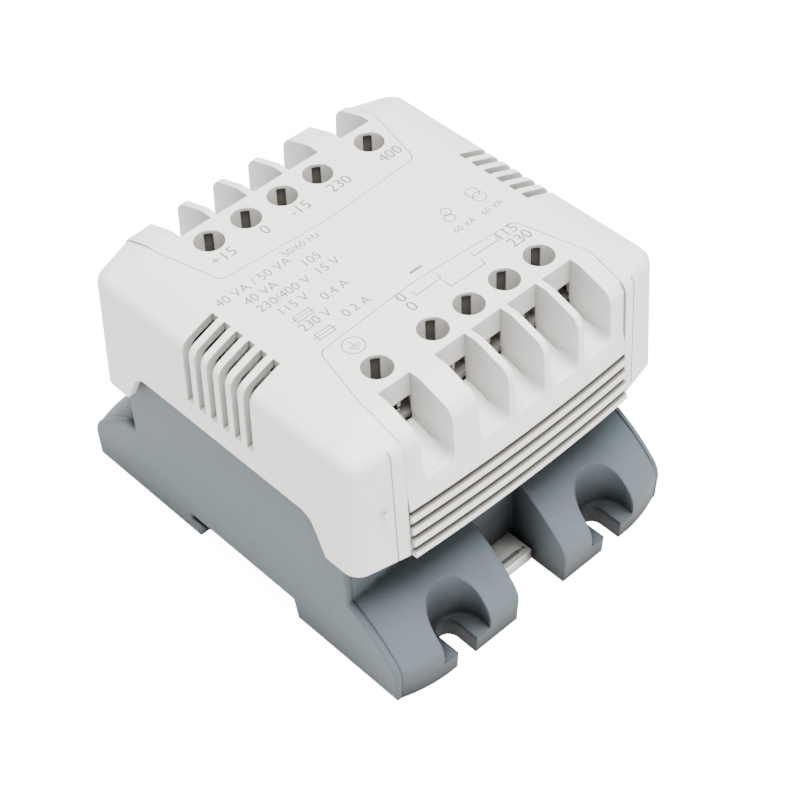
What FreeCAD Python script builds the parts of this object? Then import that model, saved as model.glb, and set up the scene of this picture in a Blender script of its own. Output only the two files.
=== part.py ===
"""Rail-mounted control transformer: moulded base, ventilated hood, two terminal covers.

Millimetres. +Z up, the origin under the middle of the base. -Y is the side with the
earth terminal and the rail latch. The rail runs along X.
"""
import FreeCAD, Part
import math
import os
import re

import Sketcher
from FreeCAD import Placement, Rotation, Vector

# name, size, what it is
SIZES = (
    ("rail_width", 35.0, "top-hat rail over its lips"),
    ("rail_play", 1.0, "free width of the rail recess"),
    ("rail_centre", -0.86, "rail centre line, along Y"),
    ("recess_depth", 5.72, "base underside to recess ceiling"),
    ("hook_slot", 1.72, "height of the slot over the fixed hook"),
    ("hook_reach", 4.64, "fixed hook under the rail"),
    ("hook_nose", 2.2, "slope of the hook's nose"),
    ("front_step", 1.1, "slope of the recess's front wall"),
    ("base_half_width", 42.8, "outside of the side plates"),
    ("plate_thickness", 1.4, "side plate"),
    ("plate_gap", 0.05, "fit of the side plate on the base"),
    ("foot_reach", 56.0, "front of the feet from the middle"),
    ("toe_in", 0.5, "lean of the toe at the floor"),
    ("nose_height", 7.3, "upright part of the toe"),
    ("nose_round", 6.9, "round of the toe"),
    ("nose_run", 2.2, "toe round, along Y"),
    ("nose_rise", 5.1, "toe round, up"),
    ("slope_top", 23.4, "foot slope where it meets the box"),
    ("slope_round", 42.0, "hollow-backed round of the foot slope"),
    ("box_half_depth", 38.7, "front wall of the base box from the middle, along Y"),
    ("box_rear", 35.6, "rear wall of the base box from the middle"),
    ("box_top", 52.0, "rim of the base box inside the hood"),
    ("box_wall", 2.0, "wall of the base box"),
    ("box_floor", 7.9, "inside floor of the base box"),
    ("bow_start", 28.0, "straight half width of the toe line"),
    ("bow_round", 36.6, "round of the toe line in plan"),
    ("side_ledge", 21.6, "foot slope where it meets the box at the seam"),
    ("plate_edge", 0.8, "softened rim of the side plates"),
    ("foot_gap", 7.61, "half the gap between the feet"),
    ("well_offset", 23.67, "screw well from the middle, along X"),
    ("well_axis", 53.1, "screw well from the middle, along Y"),
    ("well_bore", 7.1, "screw well radius"),
    ("well_floor", 5.5, "floor under the mounting screw's head"),
    ("notch_half", 2.84, "half width of the mounting notch"),
    ("notch_axis", 49.63, "inner round of the notch, along Y"),
    ("latch_half", 7.0, "half width of the latch plate"),
    ("latch_sheet", 1.2, "latch sheet thickness"),
    ("latch_top", 4.2, "top of the latch plate"),
    ("latch_front", 45.9, "front lip of the latch, along Y"),
    ("latch_bite", 1.9, "latch tongue under the rail"),
    ("latch_fit", 0.15, "play of the latch in its runners"),
    ("runner_lap", 1.6, "base runner under the latch's edge"),
    ("lip_foot", 0.6, "underside of the latch lip"),
    ("lip_slot_half", 4.7, "half width of the screwdriver slot"),
    ("lip_slot", 1.1, "screwdriver slot, along Y"),
    ("spring_wire", 0.7, "latch spring wire"),
    ("spring_bore", 1.55, "mean radius of the latch spring"),
    ("spring_length", 12.0, "latch spring at rest"),
    ("spring_gap", 0.05, "spring end from its seat"),
    ("pattern_y", -2.6, "middle between the two terminal rows"),
    ("pattern_x", 1.11, "sideways shift of the terminal rows"),
    ("row_half", 27.29, "terminal row from the pattern's middle"),
    ("last_terminal", 23.44, "last terminal from the pattern's middle"),
    ("pitch", 10.63, "terminal pitch"),
    ("first_pitch", 15.88, "wider first pitch"),
    ("hole_bore", 3.55, "screwdriver hole radius"),
    ("hood_top", 74.04, "top of the hood"),
    ("hood_foot", 38.7, "lower edge of the hood's corners"),
    ("hood_arch", 48.3, "lower edge of the hood's sides"),
    ("arch_front", 32.0, "front end of the side edge"),
    ("arch_rear", 25.2, "rear end of the side edge"),
    ("arch_run", 5.2, "run of the sloping end of the side edge"),
    ("arch_round", 5.0, "round of that edge"),
    ("hood_wall", 2.0, "wall of the hood"),
    ("knee_height", 70.7, "shoulder of the hood"),
    ("foot_half_x", 46.3, "hood half width at its lower edge"),
    ("knee_half_x", 45.4, "hood half width at the shoulder"),
    ("top_half_x", 37.0, "half width of the flat top"),
    ("foot_half_y", 46.3, "hood front face from the pattern's middle, lower edge"),
    ("knee_half_y", 45.2, "the same at the shoulder"),
    ("top_half_y", 35.7, "half depth of the flat top"),
    ("corner_round", 4.2, "upright corners of the hood"),
    ("corner_start", 33.4, "hood front turns back outside this half width"),
    ("corner_lean", 3.0, "how far it turns back"),
    ("top_lean", 1.0, "the same at the flat top"),
    ("rear_pull", 2.2, "rear corners stand in by this"),
    ("line_half", 36.1, "fine upright lines in the hood's ends from the middle"),
    ("line_width", 0.25, "width of those lines"),
    ("line_depth", 0.15, "depth of those lines"),
    ("shoulder_round", 3.0, "round of the shoulder"),
    ("top_round", 6.0, "round between flat top and slope"),
    ("vent_centre", -4.14, "middle of the vents, along Y"),
    ("vent_pitch", 3.92, "vent pitch"),
    ("vent_width", 2.1, "vent width"),
    ("vent_inner", 36.53, "inner end of the vents"),
    ("vent_foot", 54.3, "lower end of the vents"),
    ("vent_count", 6.0, "vents on each side"),
    ("cover_half", 32.82, "half width of a terminal cover at the front"),
    ("cover_back_half", 28.6, "half width of a cover at its back edge"),
    ("cover_back", 15.8, "back edge of the cover, from the pattern's middle"),
    ("cover_arch", 1.8, "rise of the curved back edge"),
    ("cover_gap", 0.12, "parting line round a cover"),
    ("cover_bow", 500.0, "plan round of the cover's front"),
    ("cover_wall", 1.6, "wall of a cover"),
    ("slope_start", 36.4, "top of the cover's slope"),
    ("slope_end", 44.3, "lower end of the slope"),
    ("slope_foot", 71.4, "height at the slope's lower end"),
    ("brow", 45.8, "cover front under the slope's round"),
    ("brow_height", 69.3, "where the upright front starts"),
    ("face", 46.3, "upright front of the cover"),
    ("face_foot", 58.0, "where the flare starts"),
    ("flare", 47.3, "top of the ridged band"),
    ("flare_height", 53.0, "height of that line"),
    ("skirt", 48.7, "lower edge of the ridged band"),
    ("skirt_drop", 0.2, "that edge below the hood's corners"),
    ("groove_top", 52.0, "top edge of the first groove"),
    ("groove_pitch", 3.45, "groove pitch"),
    ("groove_height", 1.75, "groove height"),
    ("groove_depth", 1.25, "groove depth"),
    ("groove_half", 31.6, "half length of the grooves"),
    ("groove_count", 4.0, "grooves"),
    ("pocket_left", 5.2, "pocket, left of its screw"),
    ("pocket_right", 3.65, "pocket, right of its screw"),
    ("pocket_back", 32.95, "back wall of a pocket"),
    ("pocket_back_foot", 66.8, "foot of the back wall"),
    ("throat", 34.1, "foot of the wire guide"),
    ("throat_height", 64.25, "height there"),
    ("shelf", 39.3, "pocket floor"),
    ("shelf_height", 61.4, "height there"),
    ("sill", 44.8, "front of the pocket floor"),
    ("sill_height", 57.8, "height there"),
    ("pocket_foot", 57.3, "pocket's lowest edge in the front"),
    ("pocket_round", 2.8, "round of the pocket's lower corners"),
    ("window_right", 1.7, "wire window, right of the screw"),
    ("window_foot", 64.5, "lower edge of the wire window"),
    ("window_top", 67.3, "upper edge of the wire window"),
    ("clamp_half", 3.6, "half width of a clamp saddle"),
    ("clamp_shift", -0.8, "saddle and bar from their screw, along X"),
    ("clamp_front", 3.5, "saddle from its screw, to the front"),
    ("clamp_rear", 3.3, "saddle from its screw, to the back"),
    ("clamp_top", 65.6, "top of a saddle"),
    ("clamp_sheet", 1.1, "saddle sheet"),
    ("clamp_leg", 0.9, "thickness of the saddle's legs"),
    ("clamp_foot", 63.1, "lower edge of the saddle's legs"),
    ("bar_top", 62.8, "top of a terminal bar"),
    ("bar_sheet", 1.6, "terminal bar thickness"),
    ("bar_half", 3.4, "half width of a terminal bar"),
    ("bar_front", 3.6, "terminal bar in front of its screw"),
    ("bar_back", 6.4, "terminal bar behind its screw"),
    ("screw_shank", 1.7, "clamp screw radius"),
    ("screw_fit", 0.05, "play round the clamp screw"),
    ("screw_head", 2.9, "clamp screw head radius"),
    ("head_height", 1.9, "clamp screw head"),
    ("head_gap", 0.05, "screw head over the saddle"),
    ("screw_tip", 59.9, "tip of the clamp screw"),
    ("drive_depth", 0.9, "depth of the drive slot"),
    ("drive_half", 0.4, "half width of the drive slot"),
    ("tube_wall", 1.2, "wall of the cover's screw tubes"),
    ("tube_foot", 66.2, "lower end of the screw tubes"),
    ("tube_slot", 2.1, "width of the slots in the screw tubes"),
    ("slot_turn", 56.0, "turn of those slots from the row"),
    ("slot_roof", 1.0, "plate left over the slots"),
    ("board_sheet", 1.6, "terminal board under the bars"),
    ("board_half", 31.0, "terminal board half width"),
    ("board_front", 31.6, "terminal board's edge, from the pattern's middle"),
    ("board_gap", 0.05, "seat of a bar on its board"),
    ("core_half", 33.0, "lamination stack half width"),
    ("core_stack", 34.7, "lamination stack thickness"),
    ("core_foot", 9.2, "underside of the core"),
    ("yoke", 11.0, "height of the yokes, width of the outer limbs"),
    ("core_height", 55.0, "height of the core"),
    ("limb_half", 11.0, "centre limb half width"),
    ("former_wall", 0.9, "bobbin tube wall"),
    ("former_fit", 0.15, "play of bobbin and windings"),
    ("secondary_build", 3.6, "thickness of the inner winding"),
    ("primary_build", 4.4, "thickness of the outer winding"),
    ("winding_fit", 0.05, "gap between the layers"),
    ("wrap", 0.3, "insulating wrap over the windings"),
    ("winding_round", 2.5, "corner round of the windings"),
    ("flange", 1.2, "bobbin flange thickness"),
    ("flange_reach", 30.0, "bobbin flange, along Y"),
    ("flange_half", 21.8, "bobbin flange half width in the core window"),
    ("frame_sheet", 1.0, "core frame sheet"),
    ("frame_half", 9.0, "half width of the core frame strap"),
    ("frame_toe", 5.0, "length of the frame's feet"),
    ("frame_gap", 0.1, "fit of the strap on the core"),
    ("fixing_bore", 1.45, "frame screw radius"),
    ("fixing_head", 2.2, "frame screw head radius"),
    ("fixing_depth", 3.0, "frame screw in its boss"),
    ("fixing_lift", 1.6, "frame screw head height"),
    ("boss_half", 2.4, "half size of a frame boss"),
    ("seat_gap", 0.05, "core and frame over their seats"),
    ("stop_y", 37.8, "front of the spring stop, along Y"),
    ("stop_sheet", 1.6, "thickness of the spring stop"),
    ("stop_half", 1.5, "half width of the spring stop"),
    ("spring_turns", 7.0, "turns of the latch spring"),
    ("bay_half", 2.4, "half width of the spring bay in the latch"),
    ("rib_width", 3.0, "width of the hood's ribs"),
    ("rib_gap", 0.15, "hood rib from the base"),
    ("rib_y", 22.0, "hood ribs from the middle, along Y"),
    ("ledge_height", 2.4, "hood ledge on the base rim"),
)

doc = FreeCAD.newDocument("transformer")
sheet = doc.addObject("Spreadsheet::Sheet", "sizes")
for row, (word, number, meaning) in enumerate(SIZES, start=1):
    sheet.set(f"A{row}", word)
    sheet.set(f"B{row}", str(number))
    sheet.set(f"C{row}", meaning)
    sheet.setAlias(f"B{row}", word)
doc.recompute()

WORDS = {word for word, _, _ in SIZES}
Z = Vector(0, 0, 1)


def tied(formula):
    """Writes a formula in size names as an expression on the spreadsheet."""
    return re.sub(r"[a-z][a-z_]*", lambda m: "sizes." + m[0] if m[0] in WORDS else m[0], str(formula))


def amount(formula):
    """The number that a formula in size names gives now."""
    found = sheet.evalExpression(tied(formula))
    return float(getattr(found, "Value", found))


def origin_plane(body, role):
    return [part for part in body.Origin.OriginFeatures if part.Role == role][0]


def arc_between(start, end, radius):
    """An arc from start to end that bulges to the right of the way, or left if radius < 0."""
    chord = end - start
    rise = abs(radius) - math.sqrt(radius * radius - chord.Length ** 2 / 4)
    right = Vector(chord.y, -chord.x, 0).normalize() * math.copysign(rise, radius)
    return Part.Arc(start, start + chord * 0.5 + right, end)


def draw(sketch, corners):
    """A closed loop: each corner is (u, v), or (u, v, radius) where an arc leads on."""
    points = [Vector(amount(corner[0]), amount(corner[1]), 0) for corner in corners]
    edges = []
    for index, corner in enumerate(corners):
        start = points[index]
        end = points[(index + 1) % len(points)]
        if len(corner) == 3:
            edge = sketch.addGeometry(arc_between(start, end, amount(corner[2])), False)
            swapped = sketch.getPoint(edge, 1).distanceToPoint(start) > 1e-6
            bound = sketch.addConstraint(Sketcher.Constraint("Radius", edge, abs(amount(corner[2]))))
            sketch.setExpression(f"Constraints[{bound}]", tied(f"abs({corner[2]})"))
        else:
            edge = sketch.addGeometry(Part.LineSegment(start, end), False)
            swapped = False
        edges.append((edge, 2, 1) if swapped else (edge, 1, 2))
    for index, corner in enumerate(corners):
        edge, first, last = edges[index]
        following, its_first, _ = edges[(index + 1) % len(edges)]
        sketch.addConstraint(Sketcher.Constraint("Coincident", edge, last, following, its_first))
        for kind, formula, value in (("DistanceX", corner[0], points[index].x),
                                     ("DistanceY", corner[1], points[index].y)):
            bound = sketch.addConstraint(Sketcher.Constraint(kind, -1, 1, edge, first, value))
            sketch.setExpression(f"Constraints[{bound}]", tied(formula))


def ring(sketch, u, v, radius):
    """A circle at (u, v)."""
    edge = sketch.addGeometry(Part.Circle(Vector(amount(u), amount(v), 0), Z, amount(radius)), False)
    for kind, formula in (("DistanceX", u), ("DistanceY", v)):
        bound = sketch.addConstraint(Sketcher.Constraint(kind, -1, 1, edge, 3, amount(formula)))
        sketch.setExpression(f"Constraints[{bound}]", tied(formula))
    bound = sketch.addConstraint(Sketcher.Constraint("Radius", edge, amount(radius)))
    sketch.setExpression(f"Constraints[{bound}]", tied(radius))


def sketched(body, name, role, loops, height="0", shift="0"):
    """A sketch on an origin plane, moved by height along its normal and by shift along its u."""
    sketch = body.newObject("Sketcher::SketchObject", name + "_sketch")
    sketch.AttachmentSupport = [(origin_plane(body, role), "")]
    sketch.MapMode = "FlatFace"
    sketch.setExpression("AttachmentOffset.Base.z", tied(height))
    sketch.setExpression("AttachmentOffset.Base.x", tied(shift))
    for loop in loops:
        if loop[0] == "circle":
            ring(sketch, *loop[1:])
        else:
            draw(sketch, loop)
    return sketch


def block(u_low, u_high, v_low, v_high):
    """A rectangle's corners."""
    return [(u_low, v_low), (u_high, v_low), (u_high, v_high), (u_low, v_high)]


def swept(body, kind, name, role, loops, low, high):
    """A Pad or Pocket of a sketch between two heights along the plane's normal."""
    sketch = sketched(body, name, role, loops, f"(({low}) + ({high})) / 2")
    feature = body.newObject("PartDesign::" + kind, name)
    feature.Profile = sketch
    feature.setExpression("Length", tied(f"({high}) - ({low})"))
    feature.SideType = "Symmetric"
    feature.Refine = False
    return feature


def pad(body, name, role, loops, low, high):
    return swept(body, "Pad", name, role, loops, low, high)


def pocket(body, name, role, loops, low, high):
    return swept(body, "Pocket", name, role, loops, low, high)


def turned(body, name, loop, at_x, at_y, degrees, backwards=False):
    """A profile in the YZ plane, y measured from at_y, turned about the upright line there."""
    sketch = sketched(body, name, "YZ_Plane", [loop], at_x, at_y)
    feature = body.newObject("PartDesign::Revolution", name)
    feature.Profile = sketch
    feature.ReferenceAxis = (sketch, ["V_Axis"])
    feature.Angle = degrees
    feature.Reversed = backwards
    feature.Refine = False
    return feature


def new_body(name):
    body = doc.addObject("PartDesign::Body", name)
    body.Label = name
    return body


def mirrored(sign, formula):
    """The formula itself, or its opposite."""
    return f"({formula})" if sign > 0 else f"-({formula})"


# Frame screw, from the middle: halfway along the frame's foot.
FIXING_X = "(core_half + frame_gap + frame_sheet + frame_toe / 2)"

# Base moulding: four sloping feet round a deep box, a rail recess and a latch runner below.
SEAM = "base_half_width - plate_thickness"
FRONT = -1
REAR = 1
LEFT = -1
RIGHT = 1


def foot_outline(sign, inner, start="0"):
    """Side view of a foot from its inner line to the toe, in y from start and z."""
    def away(formula):
        return f"{mirrored(sign, formula)} - ({start})"
    corners = [
        (away(inner), "0"),
        (away("foot_reach - toe_in"), "0"),
        (away("foot_reach"), "nose_height", "nose_round"),
        (away("foot_reach - nose_run"), "nose_height + nose_rise", "slope_round"),
        (away("box_half_depth"), "slope_top"),
        (away(inner), "slope_top"),
    ]
    return corners if sign > 0 else turned_over(corners)


def turned_over(corners):
    """The same loop walked the other way, its arcs kept on their own edges."""
    walked = []
    for index in range(len(corners) - 1, -1, -1):
        before = corners[index - 1]
        corner = corners[index][:2]
        walked.append(corner + (before[2],) if len(before) == 3 else corner)
    return walked


def make_base():
    body = new_body("base_moulding")
    for sign, side in ((FRONT, "front"), (REAR, "rear")):
        pad(body, side + "_feet", "YZ_Plane", [foot_outline(sign, "0")], "-bow_start", "bow_start")
        pivot = mirrored(sign, "foot_reach - bow_round")
        for hand, word in ((LEFT, "left"), (RIGHT, "right")):
            loop = foot_outline(sign, "foot_reach - bow_round + 1", pivot)
            backwards = sign * hand > 0
            turned(body, f"{side}_{word}_toe", loop, mirrored(hand, "bow_start"), pivot, 44.0, backwards)
    pad(body, "box", "XY_Plane", [block(f"-({SEAM})", SEAM, "-box_half_depth", "box_rear")],
        "0", "box_top")
    for hand, word in ((LEFT, "left"), (RIGHT, "right")):
        edges = (mirrored(hand, SEAM), mirrored(hand, "2 * base_half_width"))
        low, high = edges if hand > 0 else edges[::-1]
        pocket(body, word + "_trim", "XY_Plane", [block(low, high, "-2 * foot_reach", "2 * foot_reach")],
               "-1", "box_top + 1")
    inside = f"{SEAM} - box_wall"
    pocket(body, "inside", "XY_Plane",
           [block(f"-({inside})", inside, "-(box_half_depth - box_wall)", "box_rear - box_wall")],
           "box_floor", "box_top + 1")
    for sign, side in ((FRONT, "front"), (REAR, "rear")):
        wall = "box_half_depth" if sign < 0 else "box_rear"
        toes = (mirrored(sign, wall), mirrored(sign, "foot_reach + 2"))
        low, high = toes if sign > 0 else toes[::-1]
        pocket(body, side + "_gap", "XY_Plane", [block("-foot_gap", "foot_gap", low, high)], "-1", "box_top")
        far = high if sign > 0 else low
        for what, bore, axis, floor, roof in (("well", "well_bore", "well_axis", "well_floor", "box_top"),
                                              ("notch", "notch_half", "notch_axis", "-1", "well_floor + 1")):
            rounds = []
            mouths = []
            for hand in (LEFT, RIGHT):
                x = mirrored(hand, "well_offset")
                y = mirrored(sign, axis)
                rounds.append(("circle", x, y, bore))
                mouths.append(block(f"{x} - {bore}", f"{x} + {bore}", *((y, far) if sign > 0 else (far, y))))
            pocket(body, f"{side}_{what}_rounds", "XY_Plane", rounds, floor, roof)
            pocket(body, f"{side}_{what}_mouths", "XY_Plane", mouths, floor, roof)
    front = "rail_centre - (rail_width + rail_play) / 2"
    rear = "rail_centre + (rail_width + rail_play) / 2"
    hook = "recess_depth - hook_slot"
    recess = [(f"{front} - front_step", "0"), (f"{front} - front_step", "-1"),
              (f"{rear} - hook_reach + hook_nose", "-1"), (f"{rear} - hook_reach + hook_nose", "0"),
              (f"{rear} - hook_reach", hook), (rear, hook), (rear, "recess_depth"),
              (front, "recess_depth")]
    pocket(body, "rail_recess", "YZ_Plane", [recess], "-base_half_width", "base_half_width")
    side = "latch_half + latch_fit"
    mouth = "-latch_front"
    back = f"{front} + 1"
    pocket(body, "latch_slot", "XY_Plane", [block(f"-({side})", side, mouth, back)],
           "latch_top - latch_sheet - latch_fit", "latch_top + latch_fit")
    narrow = "latch_half - runner_lap"
    pocket(body, "latch_mouth", "XY_Plane", [block(f"-({narrow})", narrow, mouth, back)],
           "-1", "latch_top - latch_sheet / 2")
    groove = "spring_bore + spring_wire / 2 + latch_fit"
    middle = "latch_top - latch_sheet / 2"
    groove_end = "-(stop_y - stop_sheet - spring_length - 1)"
    pocket(body, "spring_groove", "XY_Plane", [block(f"-({groove})", groove, "-stop_y", groove_end)],
           middle, f"{middle} + {groove}")
    stop = block("-stop_half", "stop_half", "-stop_y", "-stop_y + stop_sheet")
    pad(body, "spring_stop", "XY_Plane", [stop],
        f"{middle} - {groove} / 2", f"{middle} + {groove} + 0.2")
    for hand, word in ((LEFT, "left"), (RIGHT, "right")):
        ends = (mirrored(hand, "core_half - yoke"), mirrored(hand, "core_half - 2"))
        low, high = ends if hand > 0 else ends[::-1]
        pad(body, word + "_core_seat", "XY_Plane", [block(low, high, "-core_stack / 2", "core_stack / 2")],
            "box_floor - 0.5", "core_foot - seat_gap")
        middle = mirrored(hand, FIXING_X)
        pad(body, word + "_boss", "XY_Plane", [block(f"{middle} - boss_half", f"{middle} + boss_half",
                                                     "-boss_half", "boss_half")],
            "box_floor - 0.5", "core_foot - seat_gap")
        pocket(body, word + "_boss_bore", "XY_Plane", [("circle", middle, "0", "fixing_bore + screw_fit")],
               "core_foot - seat_gap - fixing_depth - 0.3", "core_foot")
    return body


def side_loop():
    """Side view of the base at its seam: both toes, the rail recess and the box."""
    set_back = f"(bow_round - sqrt(bow_round^2 - ({SEAM} - bow_start)^2))"
    front = "rail_centre - (rail_width + rail_play) / 2"
    rear = "rail_centre + (rail_width + rail_play) / 2"
    toe = f"foot_reach - {set_back}"
    return [
        (f"-({toe} - toe_in)", "0"), (f"{front} - front_step", "0"), (front, "recess_depth"),
        (rear, "recess_depth"), (rear, "recess_depth - hook_slot"),
        (f"{rear} - hook_reach", "recess_depth - hook_slot"),
        (f"{rear} - hook_reach + hook_nose", "0"), (f"{toe} - toe_in", "0"),
        (toe, "nose_height", "nose_round"), (f"{toe} - nose_run", "nose_height + nose_rise", "slope_round"),
        ("box_half_depth", "side_ledge"), ("box_rear", "side_ledge"), ("box_rear", "box_top"),
        ("-box_half_depth", "box_top"), ("-box_half_depth", "side_ledge", "slope_round"),
        (f"-({toe} - nose_run)", "nose_height + nose_rise", "nose_round"), (f"-({toe})", "nose_height"),
    ]


def make_side_plates():
    """The left plate, and the right one as its mirror image."""
    body = new_body("left_side_plate")
    plate = pad(body, "plate", "YZ_Plane", [side_loop()], "-base_half_width", f"-({SEAM} + plate_gap)")
    doc.recompute()
    outside = -amount("base_half_width")
    rim = [f"Edge{number}" for number, edge in enumerate(plate.Shape.Edges, start=1)
           if all(abs(vertex.X - outside) < 1e-4 for vertex in edge.Vertexes)]
    soft = body.newObject("PartDesign::Fillet", "rim")
    soft.Base = (plate, rim)
    soft.setExpression("Radius", tied("plate_edge"))
    other = doc.addObject("Part::Mirroring", "right_side_plate")
    other.Label = "right_side_plate"
    other.Source = body
    other.Normal = Vector(1, 0, 0)


class Numbers:
    """The sheet's numbers for shapes that are worked out point by point."""

    def __getattr__(self, word):
        return amount(word)


size = Numbers()


def soft_wire(corners, place):
    """A closed wire through (u, v, radius) corners, rounded where the radius isn't nought."""
    points = [Vector(corner[0], corner[1], 0) for corner in corners]
    pieces = []
    for index, corner in enumerate(corners):
        here = points[index]
        before = (points[index - 1] - here).normalize()
        after = (points[(index + 1) % len(points)] - here).normalize()
        radius = corner[2] if len(corner) > 2 else 0
        if not radius:
            pieces.append((here, here, here))
            continue
        half = before.getAngle(after) / 2
        middle = (before + after).normalize() * (radius / math.sin(half) - radius)
        reach = radius / math.tan(half)
        pieces.append((here + before * reach, here + middle, here + after * reach))
    edges = []
    for index, (start, middle, end) in enumerate(pieces):
        if (end - start).Length > 1e-9:
            edges.append(Part.Arc(place(start), place(middle), place(end)).toShape())
        edges.append(Part.makeLine(place(end), place(pieces[(index + 1) % len(pieces)][0])))
    return Part.Wire(edges)


def prism(corners, axis, low, high):
    """A solid of a rounded outline along one axis, from low to high."""
    places = {"x": lambda p: Vector(low, p.x, p.y), "y": lambda p: Vector(p.x, low, p.y),
              "z": lambda p: Vector(p.x, p.y, low)}
    ways = {"x": Vector(1, 0, 0), "y": Vector(0, 1, 0), "z": Vector(0, 0, 1)}
    return Part.Face(soft_wire(corners, places[axis])).extrude(ways[axis] * (high - low))


def cuboid(x_low, x_high, y_low, y_high, z_low, z_high):
    return Part.makeBox(x_high - x_low, y_high - y_low, z_high - z_low, Vector(x_low, y_low, z_low))


def feature(name, shape):
    """Files a worked-out shape in the document under its own name."""
    item = doc.addObject("Part::Feature", name)
    item.Label = name
    item.Shape = shape
    return item


# Hood: a lofted shell with soft shoulders, six vents on each side and an opening at each end.
def hood_section(half_x, half_y, lean, radius, height):
    """Plan outline of the hood at one height: its ends turn back towards the corners."""
    start = size.corner_start
    middle = size.pattern_y
    front = -half_y + middle
    rear = half_y + middle
    pull = size.rear_pull
    corners = [(-start, front), (start, front), (half_x, front + lean, radius),
               (half_x, rear - lean - pull, radius), (start, rear - pull / 2), (-start, rear - pull / 2),
               (-half_x, rear - lean - pull, radius), (-half_x, front + lean, radius)]
    return soft_wire(corners, lambda p: Vector(p.x, p.y, height))


def rounded_steps(points, rounds, steps):
    """Points along a bent line whose inner corners are rounded, each by so many steps."""
    line = [Vector(*points[0], 0)]
    for before, here, after, radius in zip(points, points[1:], points[2:], rounds):
        here = Vector(*here, 0)
        back = (Vector(*before, 0) - here).normalize()
        ahead = (Vector(*after, 0) - here).normalize()
        half = back.getAngle(ahead) / 2
        centre = here + (back + ahead).normalize() * (radius / math.sin(half))
        start = here + back * (radius / math.tan(half)) - centre
        end = here + ahead * (radius / math.tan(half)) - centre
        for step in range(steps + 1):
            along = start * (1 - step / steps) + end * (step / steps)
            line.append(centre + along.normalize() * radius)
    line.append(Vector(*points[-1], 0))
    return line


def hood_solid(inset, foot):
    """The hood's outer form, or its inside where inset is the wall."""
    foot_x = size.foot_half_x - inset
    knee_x = size.knee_half_x - inset
    top_x = size.top_half_x - inset / 2
    lid = size.hood_top - inset
    crown = top_x - size.top_round
    side = [(foot_x, foot), (knee_x, size.knee_height - 0.7 * inset), (top_x, lid), (crown, lid)]
    line = rounded_steps(side, (size.shoulder_round, size.top_round), 3)
    sections = []
    for point in line[:-1]:
        rise = (foot_x - point.x) / (foot_x - top_x)
        below = max(0.0, (point.x - knee_x) / (foot_x - knee_x)) if foot_x > knee_x else 0.0
        if point.x >= knee_x:
            half_y = size.knee_half_y + below * (size.foot_half_y - size.knee_half_y) - inset
        else:
            half_y = size.top_half_y - inset / 2 + (point.x - top_x) / (knee_x - top_x) * (
                size.knee_half_y - size.top_half_y - inset / 2)
        lean = size.corner_lean + max(0.0, rise) ** 2 * (size.top_lean - size.corner_lean)
        radius = min(size.corner_round - inset / 2, 0.9 * (point.x - size.corner_start))
        sections.append(hood_section(point.x, half_y, lean, radius, point.y))
    return Part.makeLoft(sections, True, True)


def cover_plan(gap):
    """Plan of a cover, or of its opening where gap is wider, in its own frame."""
    half = size.cover_half + gap
    back_half = size.cover_back_half + gap
    back = -size.cover_back + gap
    far = -2 * size.skirt
    return [(-half, far), (half, far), (half, -size.pocket_back), (back_half, back, 2.0),
            (0.0, back + size.cover_arch, 120.0), (-back_half, back, 2.0), (-half, -size.pocket_back)]


def end_placement(end):
    """Where a cover's own frame lies: as it is at the front, turned half round at the rear."""
    turn = Rotation(Z, 0 if end < 0 else 180)
    return Placement(Vector(0, size.pattern_y, 0), turn)


def make_hood():
    outer = hood_solid(0.0, size.hood_foot)
    shell = outer.cut(hood_solid(size.hood_wall, size.hood_foot - 1))
    beyond = 2 * size.foot_half_x
    arch = prism([(-size.arch_front - size.arch_run, size.hood_foot - 1),
                  (-size.arch_front, size.hood_arch, size.arch_round),
                  (size.arch_rear, size.hood_arch, size.arch_round),
                  (size.arch_rear + size.arch_run, size.hood_foot - 1)], "x", -beyond, beyond)
    cutters = [arch]
    for end in (FRONT, REAR):
        opening = prism(cover_plan(size.cover_gap), "z", size.hood_foot - 2, size.hood_top + 2)
        opening.Placement = end_placement(end)
        cutters.append(opening)
    skin = outer.cut(hood_solid(size.line_depth, size.hood_foot - 1))
    for hand in (LEFT, RIGHT):
        middle = hand * size.line_half
        slab = cuboid(middle - size.line_width / 2, middle + size.line_width / 2, -beyond, beyond,
                      size.hood_foot - 1, size.knee_height)
        cutters.append(skin.common(slab))
    count = int(size.vent_count)
    for number in range(count):
        y = size.vent_centre + (number - (count - 1) / 2) * size.vent_pitch
        for hand in (LEFT, RIGHT):
            ends = sorted((hand * size.vent_inner, hand * beyond))
            cutters.append(cuboid(*ends, y - size.vent_width / 2, y + size.vent_width / 2,
                                  size.vent_foot, size.hood_top + 1))
    shell = shell.cut(cutters)
    ribs = []
    for hand in (LEFT, RIGHT):
        for end in (FRONT, REAR):
            y = end * size.rib_y
            half = size.rib_width / 2
            wall = hand * (size.knee_half_x - size.hood_wall / 2)
            side = sorted((hand * (size.base_half_width + size.rib_gap), wall))
            ribs.append(cuboid(*side, y - half, y + half, size.hood_arch, size.box_top + size.ledge_height))
            rim = sorted((hand * (size.base_half_width - size.box_wall), wall))
            ribs.append(cuboid(*rim, y - half, y + half, size.box_top + size.rib_gap,
                               size.box_top + size.ledge_height))
    feature("hood", shell.fuse(ribs).removeSplitter())


def terminal_places():
    """Each screw's x in a row's own frame, before the row's sideways shift."""
    last = size.last_terminal
    places = [last - step * size.pitch for step in range(4)]
    places.append(places[-1] - size.first_pitch)
    return sorted(places)


# Terminal cover: a bowed shell with five wire pockets, screw tubes and a ridged band below.
def skirt_height():
    """Height of the ridged band's lower edge."""
    return size.hood_foot - size.skirt_drop


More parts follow.
